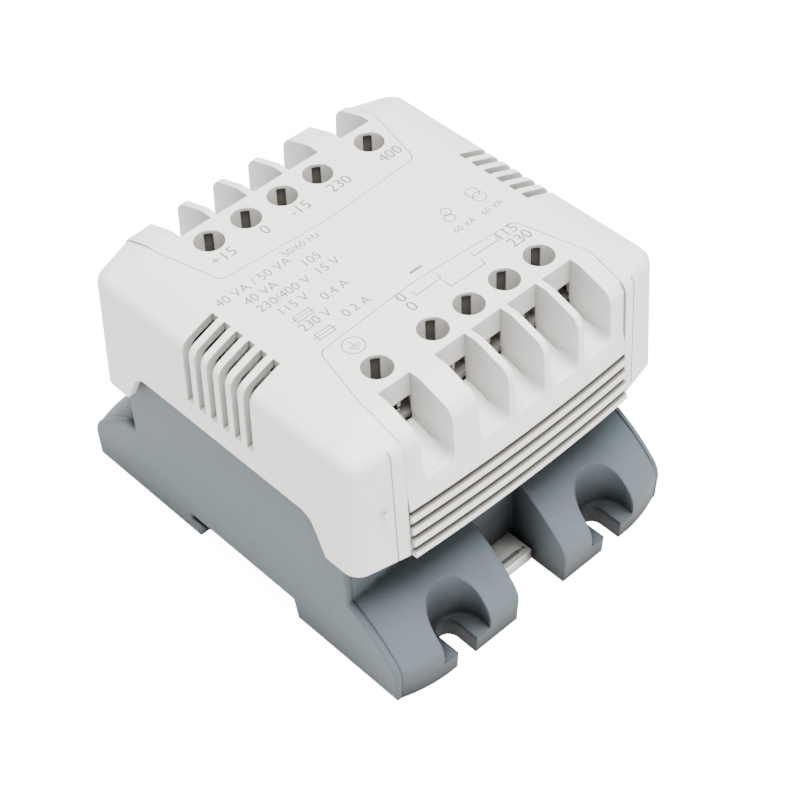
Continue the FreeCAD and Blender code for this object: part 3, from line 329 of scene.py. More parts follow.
@dataclass(frozen=True)
class MouldedPlastic:
    """A matt moulding with faint clouds, an eroded grain, soft edges with a painted highlight, and painted
    shade in recesses where it has some.
    """

    name: str
    colour: Colour
    cloud: Colour
    # Colour of the painted highlight on turning edges.
    edge: Colour
    roughness: float = 0.5
    cloud_size: float = 70.0
    cloud_amount: float = 0.5
    grain_size: float = 5200.0
    grain_depth: float = 0.02 * MM
    grain_strength: float = 0.25
    edge_radius: float = 0.35 * MM
    edge_gain: float = 6.0
    specular: float = 0.35
    # Painted shade in grooves, wells and corners, if any.
    shade_paint: PaintedShade | None = None

    def material(self, palette: Palette) -> bpy.types.Material:
        """Builds the material.

        Args:
            palette: The shared node groups.

        Returns:
            The material.
        """
        material, tree, shader = blank_material(self.name)
        clouds = wired(tree, "ShaderNodeGroup", node_tree=palette.clouds, i_Colour=(*self.colour, 1.0),
                       i_Cloud=(*self.cloud, 1.0), i_Cloud_Size=self.cloud_size,
                       i_Cloud_Amount=self.cloud_amount, i_Grain_Size=self.grain_size,
                       i_Roughness=self.roughness)
        edges = wired(tree, "ShaderNodeGroup", node_tree=palette.edges, i_Colour=clouds.outputs["Colour"],
                      i_Edge=(*self.edge, 1.0), i_Radius=self.edge_radius, i_Gain=self.edge_gain)
        bump = wired(tree, "ShaderNodeBump", i_Strength=self.grain_strength, i_Distance=self.grain_depth,
                     i_Height=clouds.outputs["Height"], i_Normal=edges.outputs["Normal"])
        colour = edges.outputs["Colour"]
        if self.shade_paint:
            colour = self.shade_paint.shade(tree, palette, colour, self.colour)
        tree.links.new(colour, shader.inputs["Base Color"])
        tree.links.new(clouds.outputs["Roughness"], shader.inputs["Roughness"])
        tree.links.new(bump.outputs[0], shader.inputs["Normal"])
        shader.inputs["Specular IOR Level"].default_value = self.specular
        return material


@dataclass(frozen=True)
class DrawnMetal:
    """Metal or enamelled stock with fine lines along one way, and painted shade in recesses where it has
    some.
    """

    name: str
    colour: Colour
    stain: Colour
    metallic: float = 1.0
    roughness: float = 0.3
    spread: float = 0.25
    size: float = 900.0
    stretch: Triple = (1.0, 1.0, 1.0)
    stain_amount: float = 1.2
    depth: float = 0.02 * MM
    strength: float = 0.3
    # Painted shade in grooves, wells and corners, if any.
    shade_paint: PaintedShade | None = None

    def material(self, palette: Palette) -> bpy.types.Material:
        """Builds the material.

        Args:
            palette: The shared node groups.

        Returns:
            The material.
        """
        material, tree, shader = blank_material(self.name)
        group = wired(tree, "ShaderNodeGroup", node_tree=palette.strokes, i_Colour=(*self.colour, 1.0),
                      i_Stain=(*self.stain, 1.0), i_Size=self.size, i_Stretch_X=self.stretch[0],
                      i_Stretch_Y=self.stretch[1], i_Stretch_Z=self.stretch[2],
                      i_Stain_Amount=self.stain_amount, i_Roughness=self.roughness,
                      i_Roughness_Spread=self.spread)
        bump = wired(tree, "ShaderNodeBump", i_Strength=self.strength, i_Distance=self.depth,
                     i_Height=group.outputs["Height"])
        colour = group.outputs["Colour"]
        if self.shade_paint:
            colour = self.shade_paint.shade(tree, palette, colour, self.colour)
        tree.links.new(colour, shader.inputs["Base Color"])
        tree.links.new(group.outputs["Roughness"], shader.inputs["Roughness"])
        tree.links.new(bump.outputs[0], shader.inputs["Normal"])
        shader.inputs["Metallic"].default_value = self.metallic
        return material


@dataclass(frozen=True)
class Ink:
    """Thin, uneven pad print."""

    name: str
    colour: Colour
    faded: Colour
    roughness: float = 0.55
    patch_size: float = 900.0
    patch_amount: float = 1.4

    def material(self, palette: Palette) -> bpy.types.Material:
        """Builds the material.

        Args:
            palette: The shared node groups.

        Returns:
            The material.
        """
        material, tree, shader = blank_material(self.name)
        group = wired(tree, "ShaderNodeGroup", node_tree=palette.clouds, i_Colour=(*self.colour, 1.0),
                      i_Cloud=(*self.faded, 1.0), i_Cloud_Size=self.patch_size,
                      i_Cloud_Amount=self.patch_amount, i_Roughness=self.roughness)
        tree.links.new(group.outputs["Colour"], shader.inputs["Base Color"])
        tree.links.new(group.outputs["Roughness"], shader.inputs["Roughness"])
        return material


# The edge colours are painted highlights on turning edges. The painted shade darkens grooves, wells and
# corners, browner on the hood and covers, and on the covers only 0.55 of it stays above 56 mm.
HOOD_PLASTIC = MouldedPlastic(
    name="hood_plastic", colour=(0.56, 0.548, 0.53), cloud=(0.53, 0.518, 0.50), edge=(0.60, 0.588, 0.57),
    roughness=0.48, cloud_size=45.0, edge_radius=0.5 * MM, edge_gain=2.0,
    shade_paint=PaintedShade(depth=0.66, reach=3.5 * MM, tint=(1.0, 0.93, 0.82)))
COVER_PLASTIC = replace(
    HOOD_PLASTIC, name="cover_plastic",
    shade_paint=PaintedShade(depth=0.78, reach=6 * MM, tint=(1.0, 0.93, 0.82), fade_from=53 * MM, fade_to=56 * MM,
                    left_above=0.55))
BASE_PLASTIC = MouldedPlastic(
    name="base_plastic", colour=(0.060, 0.076, 0.086), cloud=(0.073, 0.090, 0.100),
    edge=(0.100, 0.119, 0.131), roughness=0.55, cloud_size=160.0, cloud_amount=0.9, grain_strength=0.35,
    edge_radius=1.4 * MM, edge_gain=1.2, specular=0.15, shade_paint=PaintedShade(depth=0.9, reach=13 * MM))
PLATE_PLASTIC = replace(
    BASE_PLASTIC, name="plate_plastic", colour=(0.066, 0.083, 0.094), cloud=(0.080, 0.098, 0.108),
    edge_radius=2.6 * MM, edge_gain=0.6, shade_paint=PaintedShade(depth=0.6, reach=13 * MM))
BOBBIN_PLASTIC = MouldedPlastic(
    name="bobbin_plastic", colour=(0.30, 0.28, 0.25), cloud=(0.24, 0.22, 0.20), edge=(0.36, 0.34, 0.30))
TAPE = MouldedPlastic(
    name="winding_tape", colour=(0.48, 0.36, 0.15), cloud=(0.40, 0.29, 0.11), edge=(0.52, 0.40, 0.20),
    roughness=0.28, edge_gain=1.0, grain_size=1500.0)
# The zinc gets painted shade in corners and recesses, such as the latch's rear near the base.
ZINC = DrawnMetal(name="zinc_steel", colour=(0.86, 0.85, 0.81), stain=(0.34, 0.33, 0.30), metallic=0.85,
                  stretch=(0.15, 1.0, 1.0), stain_amount=1.4, shade_paint=PaintedShade(depth=0.8, reach=6 * MM))
SPRING_STEEL = DrawnMetal(name="spring_steel", colour=(0.50, 0.50, 0.50), stain=(0.25, 0.25, 0.25))
TERMINAL_STEEL = DrawnMetal(name="terminal_steel", colour=(0.50, 0.50, 0.44), stain=(0.25, 0.25, 0.20),
                            roughness=0.34)
TINNED_BRASS = DrawnMetal(name="tinned_brass", colour=(0.66, 0.63, 0.52), stain=(0.45, 0.40, 0.28))
CORE_STEEL = DrawnMetal(name="core_steel", colour=(0.20, 0.20, 0.21), stain=(0.10, 0.08, 0.07), metallic=0.6,
                        roughness=0.45, size=40.0, stretch=(1.0, 50.0, 1.0), depth=0.2 * MM, strength=0.7)
COPPER = DrawnMetal(name="winding_copper", colour=(0.62, 0.26, 0.12), stain=(0.30, 0.10, 0.04), metallic=0.8,
                    roughness=0.25, size=40.0, stretch=(1.0, 1.0, 50.0), depth=0.3 * MM, strength=0.8)
PRINT_INK = Ink(name="print_ink", colour=(0.06, 0.054, 0.043), faded=(0.15, 0.14, 0.12))
# A very dark finish for the sheets in the tube slots: painted shade where the slots look into the dark
# inside.
SLOT_SHADE = MouldedPlastic(
    name="painted_slot_shade", colour=(0.07, 0.063, 0.054), cloud=(0.056, 0.05, 0.043),
    edge=(0.085, 0.078, 0.067), edge_gain=0.5)


def piece(name: str, mesh: bpy.types.Mesh, body: str,
          material: bpy.types.Material) -> bpy.types.Object:
    """Puts a finished mesh in the scene as a piece that rides on a body.

    Args:
        name: The piece's name.
        mesh: Its mesh, in the model's frame.
        body: The body that it moves with.
        material: Its finish.

    Returns:
        The object.
    """
    mesh.materials.clear()
    mesh.materials.append(material)
    made = bpy.data.objects.new(name, mesh)
    bpy.context.scene.collection.objects.link(made)
    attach(made, body)
    triangles = sum(len(face.vertices) - 2 for face in mesh.polygons)
    log.info("%s: %d triangles before modifiers, on %s", name, triangles, body)
    return made


def opened(mesh: bpy.types.Mesh, cutter: bpy.types.Mesh) -> bpy.types.Mesh:
    """Cuts one closed mesh out of another.

    Args:
        mesh: The mesh to open.
        cutter: What is taken out of it.

    Returns:
        The new mesh.
    """
    whole = bpy.data.objects.new("whole", mesh)
    tool = bpy.data.objects.new("tool", cutter)
    for thing in (whole, tool):
        bpy.context.scene.collection.objects.link(thing)
    cut = whole.modifiers.new("cut", "BOOLEAN")
    cut.operation = "DIFFERENCE"
    cut.solver = "EXACT"
    cut.object = tool
    result = bpy.data.meshes.new_from_object(whole.evaluated_get(bpy.context.evaluated_depsgraph_get()))
    for thing in (whole, tool):
        bpy.data.objects.remove(thing)
    return result


def block(name: str, middle: Triple, size: Triple) -> bpy.types.Mesh:
    """A plain block.

    Args:
        name: The mesh's name.
        middle: Its middle.
        size: Its size along X, Y and Z.

    Returns:
        The mesh.
    """
    mesh = bpy.data.meshes.new(name)
    work = bmesh.new()
    bmesh.ops.create_cube(work, size=1.0, matrix=Matrix.Translation(middle) @ Matrix.Diagonal((*size, 1.0)))
    work.to_mesh(mesh)
    work.free()
    return mesh


def joined(parts: list[bpy.types.Mesh], name: str) -> bpy.types.Mesh:
    """Puts several meshes together as one.

    Args:
        parts: The meshes.
        name: The new mesh's name.

    Returns:
        The mesh.
    """
    work = bmesh.new()
    for part in parts:
        work.from_mesh(part)
    mesh = bpy.data.meshes.new(name)
    work.to_mesh(mesh)
    work.free()
    return mesh


def closed_rows(rows: np.ndarray, name: str) -> bpy.types.Mesh:
    """A closed solid through a row of outlines: side faces between neighbours, and a face on each end.

    Args:
        rows: Points of shape (outlines, points of an outline, 3), every outline with as many points.
        name: The mesh's name.

    Returns:
        The mesh, its faces pointing outwards.
    """
    count, around = rows.shape[:2]
    grid = np.arange(count * around).reshape(count, around)
    after = np.roll(grid, -1, axis=1)
    sides = np.stack((grid[:-1], after[:-1], after[1:], grid[1:]), axis=-1).reshape(-1, 4)
    mesh = bpy.data.meshes.new(name)
    mesh.from_pydata(rows.reshape(-1, 3), [], [*sides.tolist(), grid[0][::-1].tolist(), grid[-1].tolist()])
    work = bmesh.new()
    work.from_mesh(mesh)
    bmesh.ops.recalc_face_normals(work, faces=work.faces)
    work.to_mesh(mesh)
    work.free()
    return mesh


@dataclass(frozen=True)
class SoftEdges:
    """How a solid's copy gets its rounded edges."""

    radius: float
    segments: int = 2
    angle: float = 28.0
    weld: float = 0.001 * MM
    flat: float = 0.4

    def copy_of(self, node: str, cutter: bpy.types.Mesh | None = None) -> bpy.types.Mesh:
        """A merged copy of a solid: corners joined, flat facets made one face, all shaded smooth.

        Args:
            node: The solid's name.
            cutter: A closed mesh to cut out of the copy.

        Returns:
            The new mesh.
        """
        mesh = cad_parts[node].data.copy()
        mesh.name = node + "_soft"
        if cutter:
            self.merge(mesh, flats=False)
            mesh = opened(mesh, cutter)
        self.merge(mesh, flats=True)
        mesh.shade_smooth()
        return mesh

    def merge(self, mesh: bpy.types.Mesh, flats: bool) -> None:
        """Joins a mesh's doubled corners.

        Args:
            mesh: The mesh.
            flats: Whether facets in one plane become one face, too.
        """
        work = bmesh.new()
        work.from_mesh(mesh)
        bmesh.ops.remove_doubles(work, verts=work.verts, dist=self.weld)
        if flats:
            bmesh.ops.dissolve_limit(work, angle_limit=math.radians(self.flat), verts=work.verts,
                                     edges=work.edges)
        work.to_mesh(mesh)
        work.free()

    def finish(self, made: bpy.types.Object) -> None:
        """Adds the rounding and the normals that keep the flats flat.

        Args:
            made: The piece.
        """
        bevel = made.modifiers.new("rounding", "BEVEL")
        bevel.width = self.radius
        bevel.segments = self.segments
        bevel.limit_method = "ANGLE"
        bevel.angle_limit = math.radians(self.angle)
        bevel.miter_outer = "MITER_ARC"
        normals = made.modifiers.new("normals", "WEIGHTED_NORMAL")
        normals.keep_sharp = True

    def dress(self, node: str, body: str, slot: str, material: bpy.types.Material,
              cutter: bpy.types.Mesh | None = None) -> bpy.types.Object:
        """Replaces a solid with its rounded copy.

        Args:
            node: The solid's name.
            body: The body that it moves with.
            slot: The record's material slot; not used.
            material: Its finish.
            cutter: A closed mesh to cut out of the copy.

        Returns:
            The piece.
        """
        made = piece(node + "_moulded", self.copy_of(node, cutter), body, material)
        self.finish(made)
        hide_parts(node)
        return made


def keep(node: str, material: bpy.types.Material) -> None:
    """Gives a solid that stays as it is its finish.

    Args:
        node: The solid's name.
        material: The finish.
    """
    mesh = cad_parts[node].data
    mesh.materials.clear()
    mesh.materials.append(material)
    log.info("%s: the solid itself", node)


def screw_axis(side: Side, number: int) -> np.ndarray:
    """Where a terminal screw's axis meets the ground.

    Args:
        side: The row.
        number: The terminal, from 1.

    Returns:
        The point.
    """
    low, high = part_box(f"{side.value}_screw_{number}")
    return np.array(((low.x + high.x) / 2, (low.y + high.y) / 2, 0.0))


@dataclass(frozen=True)
class Pocket:
    """The form of a wire pocket under its window, in millimetres from its screw, with y towards the back.

    The solids' windows end above the floor. Here each is cut open down to a floor that falls evenly from
    back_floor at the screw to front_floor at the front.
    """

    left: float = 5.2
    right: float = 3.65
    foot: float = 57.3
    foot_round: float = 2.8
    round_steps: int = 8
    over_round: float = 0.4
    window_top: float = 67.5
    window_back: float = -2.9
    jamb: tuple[float, float] = (-5.62, -5.72)
    jamb_width: float = 0.85
    inside: float = 0.03
    front: float = -17.4
    back_floor: float = 62.3
    front_floor: float = 57.85
    cut_steps: int = 20
    channel_steps: int = 12
    channel_start: float = 0.2
    channel_gap: float = 0.02
    channel_side: float = 0.5
    channel_below: float = 0.7
    channel_rise: float = 2.6

    def placed(self, side: Side, number: int, rows: np.ndarray) -> np.ndarray:
        """Moves outlines from a pocket's own frame to their place.

        Args:
            side: The row: the rear one is turned half round.
            number: The terminal, from 1.
            rows: The points, in millimetres.

        Returns:
            The moved points, in metres.
        """
        turn = 1.0 if side is Side.FRONT else -1.0
        return rows * np.array((turn, turn, 1.0)) * MM + screw_axis(side, number)

    def floor(self, along: float) -> float:
        """Height of the floor, which falls evenly to the front.

        Args:
            along: The place's y.

        Returns:
            The height.
        """
        return self.back_floor + (self.front_floor - self.back_floor) * along / self.front

    def throat(self, side: Side, number: int) -> bpy.types.Mesh:
        """What is taken out under a wire window: a block whose floor falls evenly to the front.

        Its outline across the pocket is a straight floor, two corners that follow the pocket's round
        x = r - sqrt(r squared - (r - z) squared), and straight walls. Behind the jamb it is wider, and in
        front of it a little inside the pocket's walls.

        Args:
            side: The row.
            number: The terminal, from 1.

        Returns:
            The closed mesh.
        """
        rows = []
        steps = self.round_steps
        onward = np.linspace(self.jamb[1], self.front, self.cut_steps)[1:]
        for along in (self.window_back, *self.jamb, *onward):
            floor = self.floor(along)
            wide = self.jamb_width if along >= self.jamb[0] else -self.inside
            rise = np.linspace(floor, max(floor, self.foot + self.foot_round) + self.over_round, steps)
            lower = np.clip(self.foot_round + self.foot - rise, 0.0, self.foot_round)
            inset = self.foot_round - np.sqrt(self.foot_round ** 2 - lower ** 2) - wide
            left = np.stack((-self.left + inset, np.full(steps, along), rise), axis=1)[::-1]
            right = np.stack((self.right - inset, np.full(steps, along), rise), axis=1)
            top = np.array(((self.right + wide, along, self.window_top),
                            (-self.left - wide, along, self.window_top)))
            rows.append(np.concatenate((left, right, top)))
        return closed_rows(self.placed(side, number, np.array(rows)), f"{side.value}_throat_{number}")

    def channel(self, side: Side, number: int) -> bpy.types.Mesh:
        """The floor and the feet of the walls: a thin channel just outside the cut, falling evenly.

        Args:
            side: The row.
            number: The terminal, from 1.

        Returns:
            The closed mesh.
        """
        low, high = -self.left - self.channel_gap, self.right + self.channel_gap
        wall, below, rise = self.channel_side, -self.channel_below, self.channel_rise
        section = ((low - wall, below), (high + wall, below), (high + wall, rise), (high, rise),
                   (high, self.channel_gap), (low, self.channel_gap), (low, rise), (low - wall, rise))
        rows = [[(x, along, self.floor(along) + z) for x, z in section]
                for along in np.linspace(self.jamb[1] - self.channel_start, self.front, self.channel_steps)]
        return closed_rows(self.placed(side, number, np.array(rows)), f"{side.value}_shelf_{number}")


@dataclass
class Case:
    """The hood and its two terminal covers, with their pockets and screw tubes."""

    hood_edges: SoftEdges = SoftEdges(radius=0.35 * MM)
    cover_edges: SoftEdges = SoftEdges(radius=0.3 * MM)
    pocket: Pocket = Pocket()
    slot_turn: float = 56.0
    # The dark sheets of painted shade in the tube slots: size, distance from the screw's axis, and height.
    sheet_size: Triple = (0.25 * MM, 2.3 * MM, 6.6 * MM)
    sheet_reach: float = 4.5 * MM
    sheet_middle: float = 69.7 * MM
    nub_place: Triple = (-38.7 * MM, -48.1 * MM, 54.8 * MM)
    nub_radius: float = 0.7 * MM
    nub_flat: float = 0.6
    nub_faces: tuple[int, int] = (16, 10)

    def build(self, palette: Palette) -> None:
        """Dresses the hood and the covers.

        Args:
            palette: The shared node groups.
        """
        plastic = HOOD_PLASTIC.material(palette)
        self.hood_edges.dress("hood", HOUSING, "hood_plastic", plastic)
        self.nub(plastic)
        shaded = SLOT_SHADE.material(palette)
        cover = COVER_PLASTIC.material(palette)
        for side in Side:
            throats = joined([self.pocket.throat(side, number) for number in NUMBERS], "throats")
            self.cover_edges.dress(f"{side.value}_terminal_cover", HOUSING, "hood_plastic", cover, throats)
            floors = f"{side.value}_pocket_floors"
            channels = joined([self.pocket.channel(side, number) for number in NUMBERS], floors)
            piece(floors, channels, HOUSING, cover)
            self.shade_sheets(side, shaded)

    def nub(self, material: bpy.types.Material) -> None:
        """Adds the small moulding mark on the hood's front strip, half of a ball sunk in the face.

        Args:
            material: Its finish.
        """
        mesh = bpy.data.meshes.new("hood_nub")
        work = bmesh.new()
        place = Matrix.Translation(self.nub_place) @ Matrix.Diagonal((1.0, self.nub_flat, 1.0, 1.0))
        bmesh.ops.create_uvsphere(work, u_segments=self.nub_faces[0], v_segments=self.nub_faces[1],
                                  radius=self.nub_radius, matrix=place)
        work.to_mesh(mesh)
        work.free()
        mesh.shade_smooth()
        piece("hood_nub", mesh, HOUSING, material)

    def shade_sheets(self, side: Side, material: bpy.types.Material) -> None:
        """Adds thin, very dark sheets across the slots in a row's screw tubes: painted shade for the dark
        seen through the slots.

        Args:
            side: The row.
            material: Their finish.
        """
        mesh = bpy.data.meshes.new(f"{side.value}_tube_shade_sheets")
        work = bmesh.new()
        turn = Matrix.Rotation(math.radians(self.slot_turn), 4, "Z")
        size = Matrix.Diagonal((*self.sheet_size, 1.0))
        for number in NUMBERS:
            x, y, _ = screw_axis(side, number)
            axis = Matrix.Translation((x, y, self.sheet_middle))
            for way in (-1, 1):
                out = Matrix.Translation((way * self.sheet_reach, 0.0, 0.0))
                bmesh.ops.create_cube(work, size=1.0, matrix=axis @ turn @ out @ size)
        work.to_mesh(mesh)
        work.free()
        piece(f"{side.value}_tube_shade_sheets", mesh, HOUSING, material)


@dataclass
class Foot:
    """The base moulding, its two side plates and the sprung rail latch."""

    base_edges: SoftEdges = SoftEdges(radius=0.6 * MM, segments=3)
    plate_edges: SoftEdges = SoftEdges(radius=0.25 * MM)
    latch_edges: SoftEdges = SoftEdges(radius=0.12 * MM)
    fold_middle: Triple = (0.0, -43.2 * MM, 2.7 * MM)
    fold_size: Triple = (10.0 * MM, 4.0 * MM, 0.5 * MM)
    groove_middle: Triple = (0.0, -44.2 * MM, 4.2 * MM)
    groove_size: Triple = (12.8 * MM, 0.9 * MM, 1.6 * MM)

    def build(self, palette: Palette) -> None:
        """Dresses the base, the plates, the latch and its spring.

        Args:
            palette: The shared node groups.
        """
        plastic = BASE_PLASTIC.material(palette)
        plate = PLATE_PLASTIC.material(palette)
        zinc = ZINC.material(palette)
        self.base_edges.dress("base_moulding", HOUSING, "base_plastic", plastic)
        for hand in ("left", "right"):
            self.plate_edges.dress(f"{hand}_side_plate", HOUSING, "base_plastic", plate)
            keep(f"{hand}_frame_screw", zinc)
        groove = block("lip_groove", self.groove_middle, self.groove_size)
        self.latch_edges.dress("rail_latch", LATCH, "zinc_steel", zinc, groove)
        self.fold(zinc)
        keep("core_frame", zinc)
        Spring().build(palette)

    def fold(self, material: bpy.types.Material) -> None:
        """Adds the leaf folded back under the latch's lip, which closes its slot from below.

        Args:
            material: Its finish.
        """
        leaf = block("latch_fold", self.fold_middle, self.fold_size)
        piece("latch_fold", leaf, LATCH, material)


@dataclass(frozen=True)
class Spring:
    """The latch's compression spring, a round wire along a helix of one length, which does not shorten when
    the latch is pulled.
    """

    wire: float = 0.35 * MM
    turns: float = 7.0
    steps: int = 40
    sides: int = 12
    travel: float = 3.2 * MM

    def build(self, palette: Palette) -> None:
        """Puts a smooth wire in the place of the solid spring.

        Each ring of the tube is c + w (n cos u + b sin u): c the helix's point, n its outward and b its
        sideways direction, w the wire's radius.

        Args:
            palette: The shared node groups.
        """
        low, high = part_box("latch_spring")
        coil = (high.x - low.x) / 2 - self.wire
        middle = ((low.x + high.x) / 2, (low.z + high.z) / 2)
        pitch = (high.y - low.y - 2 * self.wire) / self.turns
        count = int(self.turns * self.steps) + 1
        turn = np.linspace(0.0, 2 * math.pi * self.turns, count)
        outward = np.stack((np.cos(turn), np.zeros(count), np.sin(turn)), axis=1)
        centre = outward * coil
        centre[:, 1] = low.y + self.wire + pitch * turn / (2 * math.pi)
        centre += np.array((middle[0], 0.0, middle[1]))
        onward = np.stack((-coil * np.sin(turn), np.full(count, pitch / (2 * math.pi)), coil * np.cos(turn)),
                          axis=1)
        sideways = np.cross(onward / np.linalg.norm(onward, axis=1, keepdims=True), outward)
        round_wire = np.linspace(0.0, 2 * math.pi, self.sides, endpoint=False)
        rings = (centre[:, None] + self.wire * (outward[:, None] * np.cos(round_wire)[None, :, None]
                                                + sideways[:, None] * np.sin(round_wire)[None, :, None]))
        mesh = closed_rows(rings, "spring_wire")
        mesh.shade_smooth()
        made = piece("spring_wire", mesh, HOUSING, SPRING_STEEL.material(palette))
        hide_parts("latch_spring")
        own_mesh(made)


@dataclass
class Terminals:
    """The ten clamp terminals."""

    edges: SoftEdges = SoftEdges(radius=0.1 * MM)
    slots: dict[TerminalPart, str] = field(default_factory=lambda: {
        TerminalPart.SCREW: "terminal_steel", TerminalPart.CLAMP: "terminal_steel",
        TerminalPart.BAR: "tinned_brass"})

    def build(self, palette: Palette) -> None:
        """Dresses every screw, clamp saddle and bar.

        Args:
            palette: The shared node groups.
        """
        finishes = {finish.name: finish.material(palette) for finish in (TERMINAL_STEEL, TINNED_BRASS)}
        for side in Side:
            for kind, slot in self.slots.items():
                for number in NUMBERS:
                    self.edges.dress(f"{side.value}_{kind.value}_{number}", HOUSING, slot, finishes[slot])


@dataclass
class CoreAndCoil:
    """The laminated core, the bobbin and what is wound on it."""

    def build(self, palette: Palette) -> None:
        """Gives the inner pieces their finishes.

        Args:
            palette: The shared node groups.
        """
        core = CORE_STEEL.material(palette)
        keep("e_laminations", core)
        keep("i_laminations", core)
        keep("bobbin", BOBBIN_PLASTIC.material(palette))
        copper = COPPER.material(palette)
        keep("secondary_winding", copper)
        keep("primary_winding", copper)
        keep("winding_wrap", TAPE.material(palette))


@dataclass
class Print:
    """The plain numbers, the wiring figure and the simple signs on top of the hood.

    Places and sizes are in millimetres. Each of the numbers has its words, its middle and the height of
    its figures.
    """

    height: float = 0.012 * MM
    line: float = 0.24 * MM
    figure_share: float = 0.69
    round_steps: int = 40
    numbers: tuple[tuple[str, float, float, float], ...] = (
        ("+15", -23.4, 18.5, 2.9), ("0", -11.3, 18.6, 2.9), ("-15", -1.2, 18.5, 2.9),
        ("230", 10.6, 18.5, 2.9), ("400", 25.8, 18.0, 2.9), ("0", -5.5, -18.4, 2.9), ("0", -5.7, -22.0, 2.9),
        ("115", 24.9, -19.6, 2.9), ("230", 25.6, -23.2, 2.9), ("50/60 Hz", -9.1, 9.4, 1.9),
        ("40 VA / 50 VA", -24.2, 7.6, 2.4),
        ("40 VA", -25.4, 3.8, 2.4), ("105", -10.8, 4.3, 2.4), ("230/400 V  15 V", -17.9, 0.2, 2.4),
        ("115 V", -22.9, -3.6, 2.4), ("0.4 A", -13.6, -6.5, 2.4), ("230 V", -22.8, -10.6, 2.4),
        ("0.2 A", -13.9, -13.6, 2.4), ("60 VA", 28.8, -11.6, 1.7), ("60 VA", 20.3, -11.5, 1.7),
    )
    brackets: tuple[tuple[Point, ...], ...] = (
        ((-2.7, -18.7), (-2.7, -20.1), (4.5, -20.1), (5.1, -18.2)),
        ((4.5, -21.0), (4.4, -23.4), (14.5, -23.5), (15.0, -21.8)),
        ((14.9, -18.6), (14.7, -20.0), (21.9, -20.2), (22.3, -18.8)),
    )
    coil_rings: tuple[Point, ...] = ((20.5, -5.4), (19.7, -7.4))
    coil_radius: float = 1.25
    twin_rings: tuple[Point, ...] = ((29.2, -4.9), (29.4, -7.0))
    twin_radius: float = 1.6
    fuses: tuple[Point, ...] = ((-23.6, -7.6), (-23.9, -14.7))
    fuse_size: Point = (4.4, 1.9)
    fuse_lead: float = 0.8
    bar: tuple[Point, ...] = ((1.2, -14.2), (4.4, -14.2))
    bar_weight: float = 3.0
    earth: Point = (-22.3, -21.8)
    earth_ring: float = 2.5
    earth_stem: float = 1.6
    earth_bars: tuple[Point, ...] = ((-0.1, 1.5), (-0.75, 1.0), (-1.4, 0.45))

    def build(self, palette: Palette, top: float) -> None:
        """Prints everything on the flat top.

        Args:
            palette: The shared node groups.
            top: Height of the flat top.
        """
        mesh = bpy.data.meshes.new("print")
        work = bmesh.new()
        for words, x, y, size in self.numbers:
            self.letters(work, words, (x * MM, y * MM, top), size * MM)
        for path in self.brackets:
            self.stroke(work, path, top)
        for centre in self.coil_rings:
            self.ring(work, centre, self.coil_radius, top)
        for centre in self.twin_rings:
            self.ring(work, centre, self.twin_radius, top)
        for x, y in self.fuses:
            self.fuse(work, x, y, top)
        self.stroke(work, self.bar, top, self.bar_weight)
        self.ring(work, self.earth, self.earth_ring, top)
        x, y = self.earth
        self.stroke(work, ((x, y + self.earth_stem), (x, y + self.earth_bars[0][0])), top)
        for drop, half in self.earth_bars:
            self.stroke(work, ((x - half, y + drop), (x + half, y + drop)), top)
        work.to_mesh(mesh)
        work.free()
        piece("print", mesh, HOUSING, PRINT_INK.material(palette))

    def fuse(self, work: bmesh.types.BMesh, x: float, y: float, top: float) -> None:
        """Adds a fuse's sign: a box with a lead through it.

        Args:
            work: The mesh that the print is gathered in.
            x: Its middle along X.
            y: Its middle along Y.
            top: Height of the surface.
        """
        half_x, half_y = self.fuse_size[0] / 2, self.fuse_size[1] / 2
        self.stroke(work, ((x - half_x, y - half_y), (x + half_x, y - half_y), (x + half_x, y + half_y),
                           (x - half_x, y + half_y), (x - half_x, y - half_y)), top)
        self.stroke(work, ((x - half_x - self.fuse_lead, y), (x + half_x + self.fuse_lead, y)), top)

    def letters(self, work: bmesh.types.BMesh, words: str, middle: Triple, size: float) -> None:
        """Adds one line of words.

        Args:
            work: The mesh that the print is gathered in.
            words: The characters.
            middle: The line's middle, in metres.
            size: Height of its figures, in metres.
        """
        curve = bpy.data.curves.new("words", "FONT")
        curve.body = words
        curve.size = size / self.figure_share
        curve.align_x = "CENTER"
        curve.align_y = "CENTER"
        curve.extrude = self.height
        holder = bpy.data.objects.new("words", curve)
        mesh = bpy.data.meshes.new_from_object(holder)
        mesh.transform(Matrix.Translation(middle))
        work.from_mesh(mesh)
        bpy.data.objects.remove(holder)
        bpy.data.meshes.remove(mesh)
        bpy.data.curves.remove(curve)

    def ring(self, work: bmesh.types.BMesh, centre: Point, radius: float, top: float) -> None:
        """Adds a circle of ink: a flat bar's section carried round a circle.

        A point is at centre + (radius + s) (cos u, sin u) and top + t, with s and t the section's corners.

        Args:
            work: The mesh that the print is gathered in.
            centre: The circle's centre in millimetres.
            radius: Its radius in millimetres.
            top: Height of the surface.
        """
        turn = np.linspace(0.0, 2 * math.pi, self.round_steps, endpoint=False)[:, None]
        reach, rise = np.array(((-1, 1, 1, -1), (-1, -1, 1, 1)))
        out = radius * MM + reach * self.line / 2
        x, y = centre[0] * MM + out * np.cos(turn), centre[1] * MM + out * np.sin(turn)
        points = np.stack(np.broadcast_arrays(x, y, top + rise * self.height), axis=-1)
        corner = np.arange(turn.size * reach.size).reshape(turn.size, reach.size)
        after = np.roll(corner, -1, axis=0)
        faces = np.stack((corner, after, np.roll(after, -1, axis=1), np.roll(corner, -1, axis=1)), axis=-1)
        mesh = bpy.data.meshes.new("ring")
        mesh.from_pydata(points.reshape(-1, 3), [], faces.reshape(-1, 4).tolist())
        work.from_mesh(mesh)
        bpy.data.meshes.remove(mesh)

